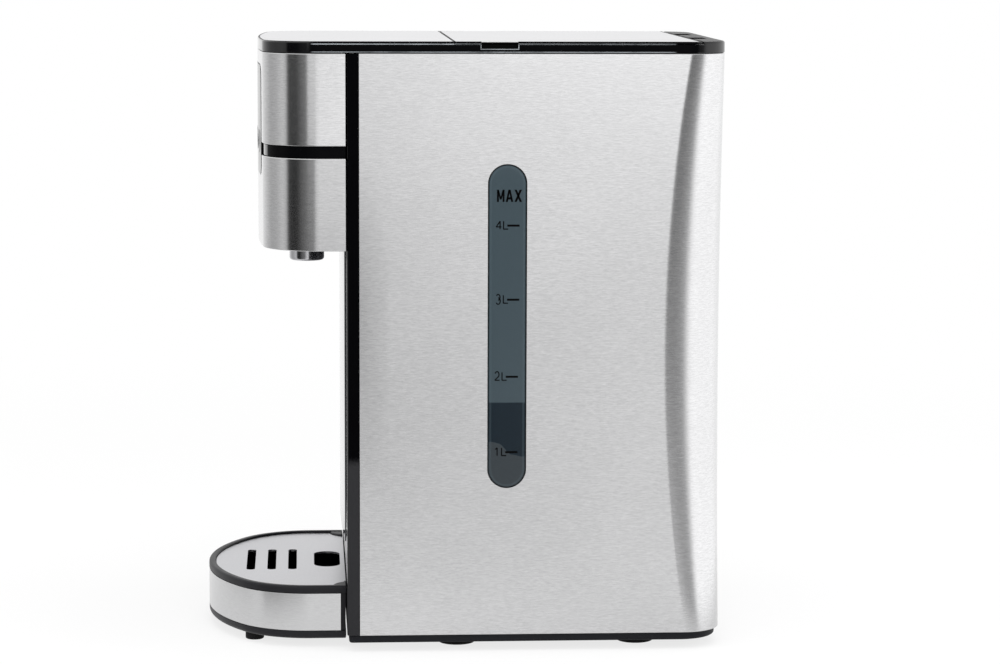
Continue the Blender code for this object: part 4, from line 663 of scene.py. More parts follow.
def refined(node, edge, finish=None):
    # a CAD node's own shape, its triangles merged and its sharp edges eased
    mesh = frame["nodes"][node].data.copy()
    work = bmesh.new()
    work.from_mesh(mesh)
    bmesh.ops.remove_doubles(work, verts=work.verts, dist=2e-6)
    bmesh.ops.dissolve_limit(work, angle_limit=math.radians(0.4), verts=work.verts, edges=work.edges)
    work.to_mesh(mesh)
    work.free()
    mesh.shade_smooth()
    mesh.set_sharp_from_angle(angle=math.radians(32))
    return dressed(settled(placed(node + "_piece", mesh), edge=edge), node, finish)


def heights(node):
    low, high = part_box(node)
    return low.z, high.z


def windowLine():
    # a long upright slot, across and up the machine's side
    points, normals = slotLine(gauge["high"] - gauge["low"], 2 * gauge["halfWidth"], 32)
    middle = (gauge["low"] + gauge["high"]) / 2
    return (np.column_stack([gauge["middleY"] - points[:, 1], middle + points[:, 0]]),
            np.column_stack([-normals[:, 1], normals[:, 0]]))


# Steel wrap round the sides and the rear, with its window, vents and inlet opening

wrap = {
    "thickness": 0.001, "edge": 0.0004, "cutEdge": 0.00035, "levels": 24, "ventCount": 7, "ventPitch": 0.009,
    "ventWidth": 0.003, "ventLength": 0.032, "ventUp": 0.1053, "inletX": 0.045, "inletUp": 0.0453,
    "inletWidth": 0.028, "inletHeight": 0.021, "inletCorner": 0.004, "overrun": 0.004}


def makeWrap():
    low, high = heights("steel_wrap")
    t, r, past = wrap["thickness"], wrap["edge"], wrap["overrun"]
    # up the outside, down the inside; the corners' radius is a parabola of the height, widest half way up
    rise = np.linspace(low + r, high - r, wrap["levels"])[1:-1]
    ends = filleted([(0.0, low, r), (0.0, high, r), (t, high, 0.0), (t, low, 0.0)])
    section = np.vstack([ends[:5], np.column_stack([rise * 0, rise]), ends[5:11],
                         np.column_stack([rise * 0 + t, rise[::-1]]), ends[11:]])
    share = (2 * section[:, 1] - low - high) / (high - low)
    corners = body["rearCorner"] + body["rearSwell"] * (1 - share ** 2)
    plan = np.stack([inset(wrapLine(corner), depth)[0] for corner, depth in zip(corners, section[:, 0])], 1)
    steel = ribbon("steel_wrap_piece", levelled(plan, section[:, 1:]))
    cutters = [prism("window_cut", windowLine(), body["half"] - t - past, body["half"] + past, axes=(1, 2, 0))]
    inside, outside = body["rear"] - t - past, body["rear"] + past
    x, z, a, b = wrap["inletX"], wrap["inletUp"], wrap["inletWidth"] / 2, wrap["inletHeight"] / 2
    cutters.append(prism("inlet_cut", roundedLine(x - a, x + a, z - b, z + b, wrap["inletCorner"]),
                         inside, outside, axes=(0, 2, 1)))
    points, normals = slotLine(wrap["ventLength"], wrap["ventWidth"], 10)
    for k in range(wrap["ventCount"]):
        x = (k - (wrap["ventCount"] - 1) / 2) * wrap["ventPitch"]
        outline = (np.column_stack([x + points[:, 1], wrap["ventUp"] + points[:, 0]]), normals * 0)
        cutters.append(prism(f"vent_cut_{k}", outline, inside, outside, axes=(0, 2, 1)))
    dressed(settled(steel, cutters, edge=wrap["cutEdge"], segments=3), "steel_wrap", "side_steel")


makeWrap()
print("steel wrap made")


# Base, feet and front frame

base = {
    "in": 0.001, "rearIn": 0.0022, "chamfer": 0.0014, "lip": 0.0018, "lipRise": 0.008, "lipWall": 0.002,
    "floor": 0.0026, "floorIn": 0.006, "floorRound": 0.001, "round": 0.0003}
# a foot is a low disc with a shallow hollow below; the hollow's two radii are shares of the foot's
feet = {"topRound": 0.0004, "lowRound": 0.0009, "hollowShares": (0.62, 0.58), "hollow": 0.0006, "round": 0.0003}


def makeBase():
    low, high = heights("base_pan")
    half, r, lip = body["half"] - base["in"], base["round"], base["lip"]
    bandTop, wall, floor = high - base["lipRise"], lip + base["lipWall"], low + base["floor"]
    line = roundedLine(-half, half, body["front"] + base["in"], body["rear"] - base["rearIn"],
                       body["frontEdge"], body["rearCorner"], 20)
    rings = filleted([(base["floorIn"], low, 0.0), (0.0, low, base["chamfer"]), (0.0, bandTop, r),
                      (lip, bandTop, 0.0), (lip, high, r), (wall, high, r), (wall, floor, base["floorRound"]),
                      (lip + base["floorIn"], floor, 0.0)], closed=False)
    dressed(stacked("base_pan_piece", line, rings), "base_pan")
    for node in ("foot_front_left", "foot_front_right", "foot_rear_left", "foot_rear_right",
                 "tray_foot_left", "tray_foot_right"):
        low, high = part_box(node)
        radius, deep, r = (high.x - low.x) / 2, feet["hollow"], feet["round"]
        outer, inner = (radius * share for share in feet["hollowShares"])
        profile = filleted([(0.0, high.z, 0.0), (radius, high.z, feet["topRound"]),
                            (radius, 0.0, feet["lowRound"]), (outer, 0.0, r), (inner, deep, r),
                            (0.0, deep, 0.0)], closed=False)
        middle = ((low.x + high.x) / 2, (low.y + high.y) / 2, 0.0)
        dressed(turned(node + "_piece", profile, middle), node)


makeBase()
refined("front_frame", 0.0003, "column_black")
print("base, feet and frame made")


# Bowed insert behind the cup: flat at the back, an arc from above in front

insert = {"half": 0.088, "edge": 0.0008, "bow": 0.0016, "round": 0.0006, "topRound": 0.0002}


def makeInsert():
    low, high = heights("front_insert")
    back = body["front"] - gap
    half, bow = insert["half"], insert["bow"]
    radius = (half ** 2 + bow ** 2) / (2 * bow)
    reach = math.asin(half / radius)
    face = arcLine(0.0, back - insert["edge"] - bow + radius, radius, -quarter - reach, -quarter + reach, 40)
    line = joined(face, ([half, back], [1.0, 0.0]), ([-half, back], [-1.0, 0.0]))
    rings = slabEdge(low, high, insert["round"], insert["topRound"])
    rings[:, 0] = np.clip(rings[:, 0], 0.0, insert["round"])
    dressed(stacked("front_insert_piece", line, rings), "front_insert")


makeInsert()


# Gauge window and its printed marks

window = {
    "flange": 0.0012, "flangeRound": 0.0002, "lap": 0.003, "sink": 0.0003, "round": 0.0007, "crown": 0.00012,
    "crownIn": (0.003, 0.007)}
marks = {
    "print": 0.00006,
    # height of each label's middle, and its shift across
    "litres": {"4": (0.2501, 0.0), "3": (0.2072, 0.0), "2": (0.1623, -0.0006), "1": (0.1181, -0.0007)},
    "textLeft": 0.0176, "glyphWidth": 0.0030, "glyphGap": 0.0011, "textHeight": 0.0046, "pen": 0.00065,
    "tickLeft": 0.0240, "tickRight": 0.0311, "tickHeight": 0.00115, "tickDrop": 0.0003,
    "maxLeft": 0.0180, "maxRight": 0.0324, "maxLow": 0.2635, "maxHigh": 0.2705, "letterGap": 0.0007,
    # pen lines in a box one wide and one high: corners, or arcs as x, y, radius, from, to
    "glyphs": {
        "4": [((0.74, 0.0), (0.74, 1.0)), ((0.74, 1.0), (0.0, 0.28)), ((0.0, 0.28), (1.0, 0.28))],
        "3": [((0.42, 0.75, 0.36, 150, -90),), ((0.42, 0.27, 0.41, 90, -150),)],
        "2": [((0.46, 0.72, 0.38, 160, -35), (0.02, 0.0)), ((0.0, 0.0), (0.95, 0.0))],
        "1": [((0.55, 0.0), (0.55, 1.0)), ((0.55, 1.0), (0.2, 0.8))],
        "L": [((0.05, 1.0), (0.05, 0.0)), ((0.0, 0.0), (0.95, 0.0))]},
    # each bold letter is a few strokes: corners across and up, as shares of the letter's box
    "strokes": {
        "M": [((0, 0), (0.25, 0), (0.25, 1), (0, 1)), ((0.75, 0), (1, 0), (1, 1), (0.75, 1)),
              ((0.02, 1), (0.39, 0.2), (0.59, 0.2), (0.25, 1)),
              ((0.75, 1), (0.41, 0.2), (0.61, 0.2), (0.98, 1))],
        "A": [((0, 0), (0.27, 0), (0.6, 1), (0.36, 1)), ((0.73, 0), (1, 0), (0.64, 1), (0.4, 1)),
              ((0.2, 0.2), (0.8, 0.2), (0.75, 0.38), (0.25, 0.38))],
        "X": [((0, 0), (0.3, 0), (1, 1), (0.7, 1)), ((0.7, 0), (1, 0), (0.3, 1), (0, 1))]}}


def makeWindow():
    back = body["half"] - wrap["thickness"] - gap - window["flange"]
    step, face = back + window["flange"], body["half"] - window["sink"]
    lap, r, crown = window["lap"], window["flangeRound"], face + window["crown"]
    start, end = window["crownIn"]
    rings = filleted([(0.0, back, 0.0), (-lap, back, r), (-lap, step, r), (gap, step, 0.0),
                      (gap, face, window["round"]), (start, crown, 0.0), (end, crown, 0.0)], 5, closed=False)
    dressed(stacked("gauge_window_piece", windowLine(), rings, axes=(1, 2, 0)), "gauge_window")
    return crown


def penned(points, width, face):
    # a pen's stroke: a flat section carried along the points, which are across and up on the window
    heading = np.gradient(points, axis=0)
    heading /= np.linalg.norm(heading, axis=1)[:, None]
    side = np.column_stack([heading[:, 1], -heading[:, 0]])
    back, front = face - gap / 6, face + marks["print"]
    section = np.array([[-width / 2, back], [width / 2, back], [width / 2, front], [-width / 2, front]])
    flat = points[:, None, :] + section[None, :, :1] * side[:, None, :]
    return ribbon("stroke", levelled(flat, section[None, :, 1:])[:, :, [2, 0, 1]])


def penPoints(steps):
    # a glyph's line: corners as they are; (x, y, r, from, to) an arc of radius r in degrees
    rows = []
    for step in steps:
        if len(step) == 2:
            rows.append(np.array([step], float))
        else:
            x, y, r, start, stop = step
            rows.append(arcLine(x, y, r, math.radians(start), math.radians(stop), 14)[0])
    return np.vstack(rows)


def boldLetters(face):
    # thick straight strokes, each letter in its own equal share of the width
    strokes, count = [], len(marks["strokes"])
    width = (marks["maxRight"] - marks["maxLeft"] - (count - 1) * marks["letterGap"]) / count
    size = np.array([width, marks["maxHigh"] - marks["maxLow"]])
    back, front = face - gap / 6, face + marks["print"]
    for k, letter in enumerate(marks["strokes"].values()):
        corner = np.array([marks["maxLeft"] + k * (width + marks["letterGap"]), marks["maxLow"]])
        for stroke in letter:
            points = corner + np.array(stroke) * size
            strokes.append(prism("stroke", (points, points * 0), back, front, axes=(1, 2, 0)))
    return strokes


def makeMarks(face):
    strokes = boldLetters(face)
    size = np.array([marks["glyphWidth"], marks["textHeight"]])
    for digit, (z, shift) in marks["litres"].items():
        for k, glyph in enumerate((digit, "L")):
            corner = np.array([marks["textLeft"] + shift + k * (marks["glyphWidth"] + marks["glyphGap"]),
                               z - marks["textHeight"] / 2])
            for steps in marks["glyphs"][glyph]:
                strokes.append(penned(corner + penPoints(steps) * size, marks["pen"], face))
    work = bmesh.new()
    for stroke in strokes:
        mesh = stroke.data
        work.from_mesh(mesh)
        bpy.data.objects.remove(stroke, do_unlink=True)
        bpy.data.meshes.remove(mesh)
    letters = bpy.data.meshes.new("gauge_letters")
    work.to_mesh(letters)
    work.free()
    dressed(placed("gauge_letters", letters), "gauge_window", "print_ink", stands=False)
    for k, (z, shift) in enumerate(marks["litres"].values()):
        low = z - marks["tickDrop"] - marks["tickHeight"] / 2
        tick = block(f"gauge_tick_{k + 1}", (face - gap / 6, marks["tickLeft"] + shift, low),
                     (face + marks["print"], marks["tickRight"] + shift, low + marks["tickHeight"]))
        dressed(tick, "gauge_window", "print_ink", stands=False)


makeMarks(makeWindow())
print("window and marks made")


# Head: folded covers, the gloss band that lies nearly flush between them, chassis, floor and spout

head = {
    # fasciaReach: how far the fascia's cutter runs ahead of the head's front and behind the body's
    "sheet": 0.001, "recess": 0.0025, "band": 0.0012, "round": 0.0006, "edge": 0.0002, "fascia": 0.064,
    "fasciaCorner": 0.007, "fasciaReach": (0.004, 0.040), "bandFront": 0.0008, "bandRound": 0.0003,
    "bandRoom": 0.0004, "bandDepth": 0.06}
spout = {
    "stem": 0.0058, "stemRound": 0.0003, "radius": 0.0105, "neck": 0.0006, "round": 0.0004, "lowRound": 0.0018,
    "mouth": 0.0075, "mouthDepth": 0.004, "mouthRound": 0.0006, "nipple": 0.004, "bore": 0.0026,
    "boreCone": 0.0015, "nippleLength": 0.012}


def fasciaCutter(name):
    low, high = heights("control_fascia")
    half = head["fascia"] + gap
    line = roundedLine(-half, half, low - gap, high + gap, head["fasciaCorner"] + gap)
    ahead, behind = head["fasciaReach"]
    return prism(name, line, body["front"] - body["reach"] - ahead, body["front"] - behind, axes=(0, 2, 1))


def makeHead():
    t, r, front, edge = head["sheet"], head["round"], head["bandFront"], head["bandRound"]
    back = head["recess"] + head["band"]
    for node, finish in (("head_lower_cover", None), ("head_upper_cover", "upper_steel")):
        low, high = heights(node)
        section = filleted([(0.0, low, r), (0.0, high, r), (back, high, 0.0), (back, high - t, 0.0),
                            (t, high - t, 0.0), (t, low + t, 0.0), (back, low + t, 0.0), (back, low, 0.0)])
        cover = carried(node + "_piece", headLine, section)
        dressed(settled(cover, [fasciaCutter("opening_cut")], edge=head["edge"]), node, finish)
    for node, sign in (("head_band_left", -1), ("head_band_right", 1)):
        low, high = heights(node)
        section = filleted([(front, low, edge), (front, high, edge), (back, high, 0.0), (back, low, 0.0)])
        start, end = sign * (head["fascia"] + head["bandRoom"]), sign * (body["half"] + over)
        keeper = block("band_keep", (start, body["front"] - head["bandDepth"], low - over),
                       (end, body["front"], high + over))
        band = settled(carried(node + "_piece", headLine, section), kept=[keeper], edge=head["edge"])
        dressed(band, node, "band_black")
    for node in ("head_chassis", "head_floor"):
        refined(node, 0.0003)


def makeSpout():
    low, top = heights("spout_nozzle")
    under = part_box("head_floor")[0].z - gap
    shelf, roof = top - spout["nippleLength"], low + spout["mouthDepth"]
    nipple, stem, radius, mouth, bore = (spout[key] for key in ("nipple", "stem", "radius", "mouth", "bore"))
    neck, r = spout["neck"], spout["round"]
    profile = filleted([(nipple, top, r), (nipple, shelf, 0.0), (stem, shelf, spout["stemRound"]),
                        (stem, under, 0.0), (radius - neck, under, 0.0), (radius, under - neck, r),
                        (radius, low, spout["lowRound"]), (mouth, low, spout["mouthRound"]), (mouth, roof, r),
                        (bore, roof + spout["boreCone"], 0.0), (bore, top, 0.0)])
    near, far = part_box("spout_nozzle")
    dressed(turned("spout_nozzle_piece", profile, (0.0, (near.y + far.y) / 2, 0.0), ring=True), "spout_nozzle")


makeHead()
makeSpout()
print("head made")


# Control fascia, display and keys

keys = {
    "count": 5, "radius": 0.0062, "flange": 0.0014, "flangeDepth": 0.001, "dish": 0.0009, "round": 0.0005,
    # the dish's inner and outer ring: each one's radius and depth as shares, and its round
    "inner": (0.55, 0.6, 0.002), "outer": (0.86, 0.0, 0.0008), "smallRound": 0.0002, "stem": 0.002,
    "stemRound": 0.0003, "edge": 0.00015, "fascia": 0.0025, "proud": 0.0002, "stand": 0.0001}


def buttonSeat(x):
    # front of a key's flange, just behind the bowed fascia
    edge = abs(x) + keys["radius"] + keys["flange"]
    depth = keys["fascia"] - keys["proud"]
    return body["front"] - body["reach"] + body["bow"] - math.sqrt((body["bow"] - depth) ** 2 - edge ** 2) + gap


def makeKeys():
    for node, edge in (("control_fascia", 0.0004), ("display_window", 0.00012), ("control_board", 0.0002)):
        refined(node, edge)
    radius, stem, small = keys["radius"], keys["stem"], keys["smallRound"]
    flange = radius + keys["flange"]
    for k in range(keys["count"]):
        node = f"button_{k + 1}"
        low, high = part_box(node)
        middle = ((low.x + high.x) / 2, 0.0, (low.z + high.z) / 2)
        seat = buttonSeat(middle[0])
        rear = seat + keys["flangeDepth"]
        dish = [(radius * wide, low.y + keys["dish"] * deep, r)
                for wide, deep, r in (keys["inner"], keys["outer"])]
        profile = filleted([(0.0, low.y + keys["dish"], 0.0), *dish, (radius, low.y, keys["round"]),
                            (radius, seat, 0.0), (flange, seat, small), (flange, rear, small),
                            (stem, rear, 0.0), (stem, high.y, keys["stemRound"]), (0.0, high.y, 0.0)],
                           closed=False)
        # the key's rim is trimmed to the head's bow, a hair in front of the fascia
        trim = prism("key_trim", inset(headLine, -keys["proud"] - keys["stand"]), middle[2] - 2 * flange,
                     middle[2] + 2 * flange)
        key = settled(turned(node + "_piece", profile, middle, axis="Y"), kept=[trim], edge=keys["edge"])
        dressed(key, node, "key_black")


makeKeys()
print("controls made")


# Top rim, deck, lid and hinge

wellHalf = rim["tankHalf"] - rim["sideLip"]
wellLine = roundedLine(-wellHalf, wellHalf, rim["tankFront"] + rim["wellLip"], rim["tankRear"] - rim["wellLip"],
                       rim["wellCorner"])


def stretch(name, y0, y1, low, high):
    # a wide block between two lines across the machine
    return block(name, (-body["half"] - over, y0, low), (body["half"] + over, y1, high))


def gripCuts(name, top):
    y0 = rim["gripMiddle"] - rim["gripWidth"] / 2
    return [block(f"{name}_{side}", (side * (body["half"] - rim["gripDepth"]), y0, top - rim["gripHeight"]),
                  (side * (body["half"] + over), y0 + rim["gripWidth"], top + over)) for side in (-1, 1)]


def rod(name, radius, x, reach, steps):
    # a round bar across the machine, on the hinge's axis
    profile = np.array([[0.0, x - reach], [radius, x - reach], [radius, x + reach], [0.0, x + reach]])
    return turned(name, profile, (0.0, rim["hingeY"], rim["hingeZ"]), "X", steps)


def sheetPiece(node, y0, y1):
    low, high = heights(node)
    piece = stacked(node + "_piece", inset(planLine, rim["inlay"] + gap),
                    slabEdge(low, high, 0.0, rim["sheetRound"], lap=rim["sheetLap"]))
    keeper = stretch("sheet_keep", y0, y1, low - over, high + over)
    return dressed(settled(piece, kept=[keeper], edge=rim["sheetEdge"]), node)


def makeTop():
    low, top = heights("top_frame")
    under, ahead = top - rim["lidThickness"], body["front"] - body["reach"] - over
    piece = stacked("top_frame_piece", planLine, slabEdge(low, top, rim["lowRound"], rim["topRound"], 6))
    # the lid's rear edge turns about the hinge, so the rail stays outside the circle of its upper corner
    swing = (rim["hingeY"] - rim["lidRear"]) ** 2 + (rim["hingeZ"] - under) ** 2 - (top - rim["hingeZ"]) ** 2
    rail = rim["hingeY"] - math.sqrt(swing) + gap
    sheet = top - rim["sheet"] - gap
    pocket = settled(prism("pocket_cut", inset(planLine, rim["deckWall"]), low - over, sheet - rim["deckSlab"]),
                     kept=[stretch("pocket_keep", ahead, rim["seam"] - rim["deckWall"], low - 2 * over, top)])
    recess = settled(prism("recess_cut", inset(planLine, rim["inlay"]), sheet, top + over),
                     kept=[stretch("recess_keep", ahead, rim["seam"] - rim["seamInlay"], low, top + 2 * over)])
    cutters = [stretch("bed_cut", rim["seam"], rail, under - gap, top + over),
               prism("well_cut", wellLine, low - over, top + over), pocket, recess, *gripCuts("rim_grip", top)]
    reach = rim["knuckleWidth"] / 2 + rim["pinGrip"] + gap
    half = rim["knuckleWidth"] / 2 + rim["sideRoom"]
    front, rear = rim["lidRear"] - rim["armLap"] - rim["sideRoom"], rim["hingeY"] + rim["backRoom"]
    for side in (-1, 1):
        x = side * rim["hingeOut"]
        cutters.append(block(f"hinge_cut_{side}", (x - half, front, low - over), (x + half, rear, top + over)))
        cutters.append(rod(f"pin_cut_{side}", rim["pin"] + gap, x, reach, 20))
    dressed(settled(piece, cutters, edge=rim["frameEdge"]), "top_frame", "rim_black")
    sheetPiece("deck_plate", ahead, rim["seam"] - rim["seamInlay"] - gap)
    return top


def makeLid(top):
    under, sheet = top - rim["lidThickness"], top - rim["sheet"] - gap
    seam, rear, inlay = rim["seam"] + gap, rim["lidRear"], rim["inlay"]
    front = seam + rim["seamInlay"]
    piece = stacked("lid_piece", planLine, slabEdge(under, top, rim["lidLowRound"], rim["lidRound"], 5))
    piece = settled(piece, kept=[stretch("lid_keep", seam, rear, under - over, top + over)])
    recess = settled(prism("lid_recess", inset(planLine, inlay), sheet, top + over),
                     kept=[stretch("lid_recess_keep", front, rear - inlay, under, top + 2 * over)])
    middle, low = under + rim["lidThickness"] / 2, under - rim["skirtDepth"]
    added = [prism("skirt", inset(wellLine, rim["skirtRoom"]), low, middle)]
    cutters = [prism("skirt_cut", inset(wellLine, rim["skirtRoom"] + rim["skirtWall"]), low - over, under)]
    half = rim["knuckleWidth"] / 2
    for side in (-1, 1):
        x = side * rim["hingeOut"]
        added += [block(f"arm_{side}", (x - half, rear - rim["armLap"], middle - rim["arm"]),
                        (x + half, rim["hingeY"], middle)), rod(f"knuckle_{side}", rim["knuckle"], x, half, 40)]
        cutters.append(rod(f"bore_{side}", rim["pin"] + gap, x, half + rim["boreOver"], 40))
    piece = settled(piece, cutters + [recess, *gripCuts("lid_grip", top)], added, edge=rim["lidEdge"])
    dressed(piece, "lid", "rim_black")
    sheetPiece("lid_plate", front + gap, rear - inlay - gap)


makeLid(makeTop())
for pin in ("hinge_pin_left", "hinge_pin_right"):
    refined(pin, rim["lidEdge"])
print("top made")


# Drip tray: bowl, band and slotted plate

tray = {
    "half": 0.088, "reach": 0.083, "corner": 0.050, "bow": 0.117, "back": -0.069, "lean": 0.3, "rim": 0.004,
    "ledge": 0.003, "floor": 0.0025, "floorIn": (0.010, 0.012), "footRound": 0.0026, "topRound": 0.0014,
    "innerRound": 0.0010, "floorRound": 0.002, "bandRounds": (0.0003, 0.0004, 0.00025), "band": 0.0008,
    "bandEnd": 0.0037, "post": 0.013, "postBehind": 0.005, "postDrop": 0.0004, "postEdge": 0.0012,
    "prongOut": 0.050, "prongWidth": 0.008, "prongHeight": 0.004, "prongUp": 0.0213, "prongLength": 0.004,
    "gate": 0.004, "edge": 0.0003,
    # floorIn: how far the underside and the floor run in before they are filled
    # bandRounds: the bowl's edges under and above the steel band, and the band's own
    # each slot's place along the machine, its length and its width
    "slots": [(-0.1258, 0.062, 0.0052), (-0.11322, 0.062, 0.0052), (-0.10064, 0.062, 0.0052),
              (-0.0796, 0.0475, 0.0158)]}


def trayPost(name, side, radius, low, high):
    x, y = side * (tray["half"] - tray["rim"]), tray["back"] + tray["postBehind"]
    profile = filleted([(0.0, high, 0.0), (radius, high, tray["postEdge"]), (radius, low, 0.0),
                        (0.0, low, 0.0)], closed=False)
    return turned(name, profile, (x, y, 0.0), steps=96)


def trayLine(back, depth=0.0, lean=0.0):
    # the tray's bow, drawn with smaller sizes where it lies further in
    half, reach, corner, bow = (tray[key] - depth for key in ("half", "reach", "corner", "bow"))
    return bowedLine(half, reach, corner, bow, back, lean)


def makeTray():
    back, lean, edge = tray["back"], tray["lean"], tray["edge"]
    line = trayLine(back, lean=lean)
    low, top = heights("tray_bowl")
    bandLow, bandHigh = heights("tray_band")
    plateLow, plateHigh = heights("drip_plate")
    under, above, bandEdge = tray["bandRounds"]
    recess, inner, ledge = tray["band"] + gap, tray["rim"] + tray["ledge"], plateLow - gap
    start, end = tray["floorIn"]
    floor = low + tray["floor"]
    rings = filleted([(start, low, 0.0), (0.0, low, tray["footRound"]), (0.0, bandLow - gap, under),
                      (recess, bandLow - gap, 0.0), (recess, bandHigh + gap, 0.0), (0.0, bandHigh + gap, above),
                      (0.0, top, tray["topRound"]), (tray["rim"], top, tray["innerRound"]),
                      (tray["rim"], ledge, 0.0), (inner, ledge, above), (inner, floor, tray["floorRound"]),
                      (end, floor, 0.0)], 5, closed=False)
    # the rim ends at the round posts, so it is cut away between them
    depth = lean * inner + gap
    reach = tray["half"] - tray["rim"] - math.sqrt(tray["post"] ** 2 - (tray["postBehind"] + depth) ** 2)
    gate = block("rear_gate", (-reach, back - depth, ledge), (reach, back + tray["gate"], top + tray["gate"]))
    piece = settled(stacked("tray_bowl_piece", line, rings), [gate])
    added = []
    for side in (-1, 1):
        post = trayPost(f"post_{side}", side, tray["post"], low + tray["floor"] / 2, top - tray["postDrop"])
        added.append(settled(post, kept=[prism(f"post_limit_{side}", inset(line, recess), 0.0, top + over)]))
        x, half, up = side * tray["prongOut"], tray["prongWidth"] / 2, tray["prongUp"]
        added.append(block(f"prong_{side}", (x - half, back - lean * tray["rim"], up),
                           (x + half, back + tray["prongLength"], up + tray["prongHeight"])))
    dressed(settled(piece, added=added, edge=edge), "tray_bowl")
    section = filleted([(0.0, bandLow, bandEdge), (0.0, bandHigh, bandEdge), (tray["band"], bandHigh, 0.0),
                        (tray["band"], bandLow, 0.0)])
    band = carried("tray_band_piece", trayLine(body["front"] - tray["bandEnd"]), section)
    dressed(band, "tray_band", "tray_steel")
    plate = prism("drip_plate_piece", trayLine(back, tray["rim"] + gap), plateLow, plateHigh)
    span = (plateLow - over, plateHigh + over)
    cutters = [trayPost(f"notch_{side}", side, tray["post"] + gap, *span) for side in (-1, 1)]
    for k, (y, length, width) in enumerate(tray["slots"]):
        points, normals = slotLine(length, width, 20)
        cutters.append(prism(f"slot_cut_{k}", (points + np.array([0.0, y]), normals), *span))
    dressed(settled(plate, cutters, edge=edge, segments=3), "drip_plate", "tray_sheet")


makeTray()
print("tray made")


# Inside: tank, pump, heater, hoses and boards keep their solid shape, with eased edges

insideEdges = {
    "water_tank": 0.0005, "tank_strainer": 0.0002, "float_post": 0.0003, "level_float": 0.0003,
    "tank_shelf": 0.0003, "pump_housing": 0.0003, "pump_cover": 0.0003, "pump_impeller": 0.0002,
    "pump_motor": 0.0003, "pump_cradle": 0.0004, "heater_tube": 0.0002, "heater_saddle_lower": 0.0004,
    "heater_saddle_upper": 0.0004, "thermal_cutoff": 0.0003, "temperature_sensor": 0.0003, "tank_hose": 0.0,
    "pump_hose": 0.0, "outlet_hose": 0.0, "power_board": 0.0002, "mains_inlet": 0.0004}
for node, edge in insideEdges.items():
    refined(node, edge)
print("inside pieces made")


# Floor, lights, surroundings and camera

studio = {
    "floor": 4.0, "floorTone": 0.86, "glowNear": 0.78, "glowFar": 1.25, "mirrorNear": 0.18, "mirrorFar": 0.44,
    "mirrorDim": 0.15, "ambient": 0.55, "high": 1.0, "highFrom": (5, 12), "overhead": 0.12,
    "overheadFrom": (55, 68),
    # angles in degrees, round or up: from, to and the ends' softness; sideFade and every From: from, to
    # lowRear and behind: from, to and a gain; fill: its lower edge, that edge's softness and a gain
    # ahead: a dark strip low on the right, deepest at its near end, and a brighter field above it
    "ahead": (-8, 11, 1), "strip": (-9.6, -5.6, 1.6), "stripNear": 0.35, "stripFar": 0.10,
    "sideFade": (0.8, 6.0), "above": (-3.4, 16, 1.5), "aboveNear": 0.25, "aboveFar": 0.62,
    "lowRear": (-13.0, -8.0, 1.0), "lowRearAround": (13, 50, 3), "fill": (-1.2, 1, 0.80),
    "fillAround": (-24.0, -9.0, 1), "behind": (160, 170, 0.12), "behindFrom": (-1, 4),
    # what metal sees by azimuth, 0 towards +X and 90 towards the rear, as a share of the brightest
    "brightest": 1.5,
    "around": ((-179.5, 0.64), (-150, 0.58), (-135, 0.48), (-116, 0.34), (-98, 0.36), (-80, 0.49), (-71, 0.42),
               (-66, 0.02), (-46, 0.02), (-40, 0.06), (-33, 0.10), (-27, 0.12), (-10, 0.13), (-7, 0.56),
               (1, 0.60), (6, 0.66), (10, 0.75), (12, 0.10), (28, 0.11), (38, 0.15), (46, 0.24), (52, 0.60),
               (58, 0.88), (64, 0.94), (120, 0.90), (150, 0.70), (179.5, 0.64)),
    "lampAim": (0.0, 0.0, 0.17)}


def stageMaterial(kind, name, surface):
    # a node tree with only an output, filled by what surface makes
    block = kind.new(name)
    block.use_nodes = True
    tree = block.node_tree
    tree.nodes.clear()
    output = tree.nodes.new("ShaderNodeOutputWorld" if kind == bpy.data.worlds else "ShaderNodeOutputMaterial")
    tree.links.new(surface(Wire(tree)).socket, output.inputs["Surface"])
    return block


def seenBy(start, *kinds):
    rays = [start.node("ShaderNodeLightPath", out=f"Is {kind} Ray") for kind in kinds]
    return rays[0] if len(rays) == 1 else rays[0].largest(rays[1])


def floorSurface(start):
    # matt and shadowed near the object, plain white further off; metal sees past it to the studio
    point = start.node("ShaderNodeTexCoord", out="Object")
    distance = start.node("ShaderNodeVectorMath", {"operation": "LENGTH"}, {0: point}, "Value")
    glow = distance.rise(studio["mirrorNear"], studio["glowFar"])
    glow = glow * (1 - studio["glowNear"]) + studio["glowNear"]
    seen = seenBy(start, "Camera", "Transmission").largest(seenBy(start, "Glossy"))
    tone = studio["floorTone"]
    matt = start.node("ShaderNodeBsdfDiffuse", {}, {"Color": (tone, tone, tone, 1.0)})
    strength = 1 - seenBy(start, "Glossy") * studio["mirrorDim"]
    light = start.node("ShaderNodeEmission", {}, {"Color": (1.0, 1.0, 1.0, 1.0), "Strength": strength})
    near = start.node("ShaderNodeMixShader", {}, {0: seen * glow, 1: matt, 2: light})
    past = seenBy(start, "Glossy") * distance.rise(studio["mirrorNear"], studio["mirrorFar"])
    return start.node("ShaderNodeMixShader", {}, {0: past, 1: near, 2: start.node("ShaderNodeBsdfTransparent")})


def makeFloor():
    reach = studio["floor"]
    mesh = bpy.data.meshes.new("floor")
    corners = [(-reach, -reach, 0.0), (reach, -reach, 0.0), (reach, reach, 0.0), (-reach, reach, 0.0)]
    mesh.from_pydata(corners, [], [(0, 1, 2, 3)])
    mesh.materials.append(stageMaterial(bpy.data.materials, "floor", floorSurface))
    placed("floor", mesh)


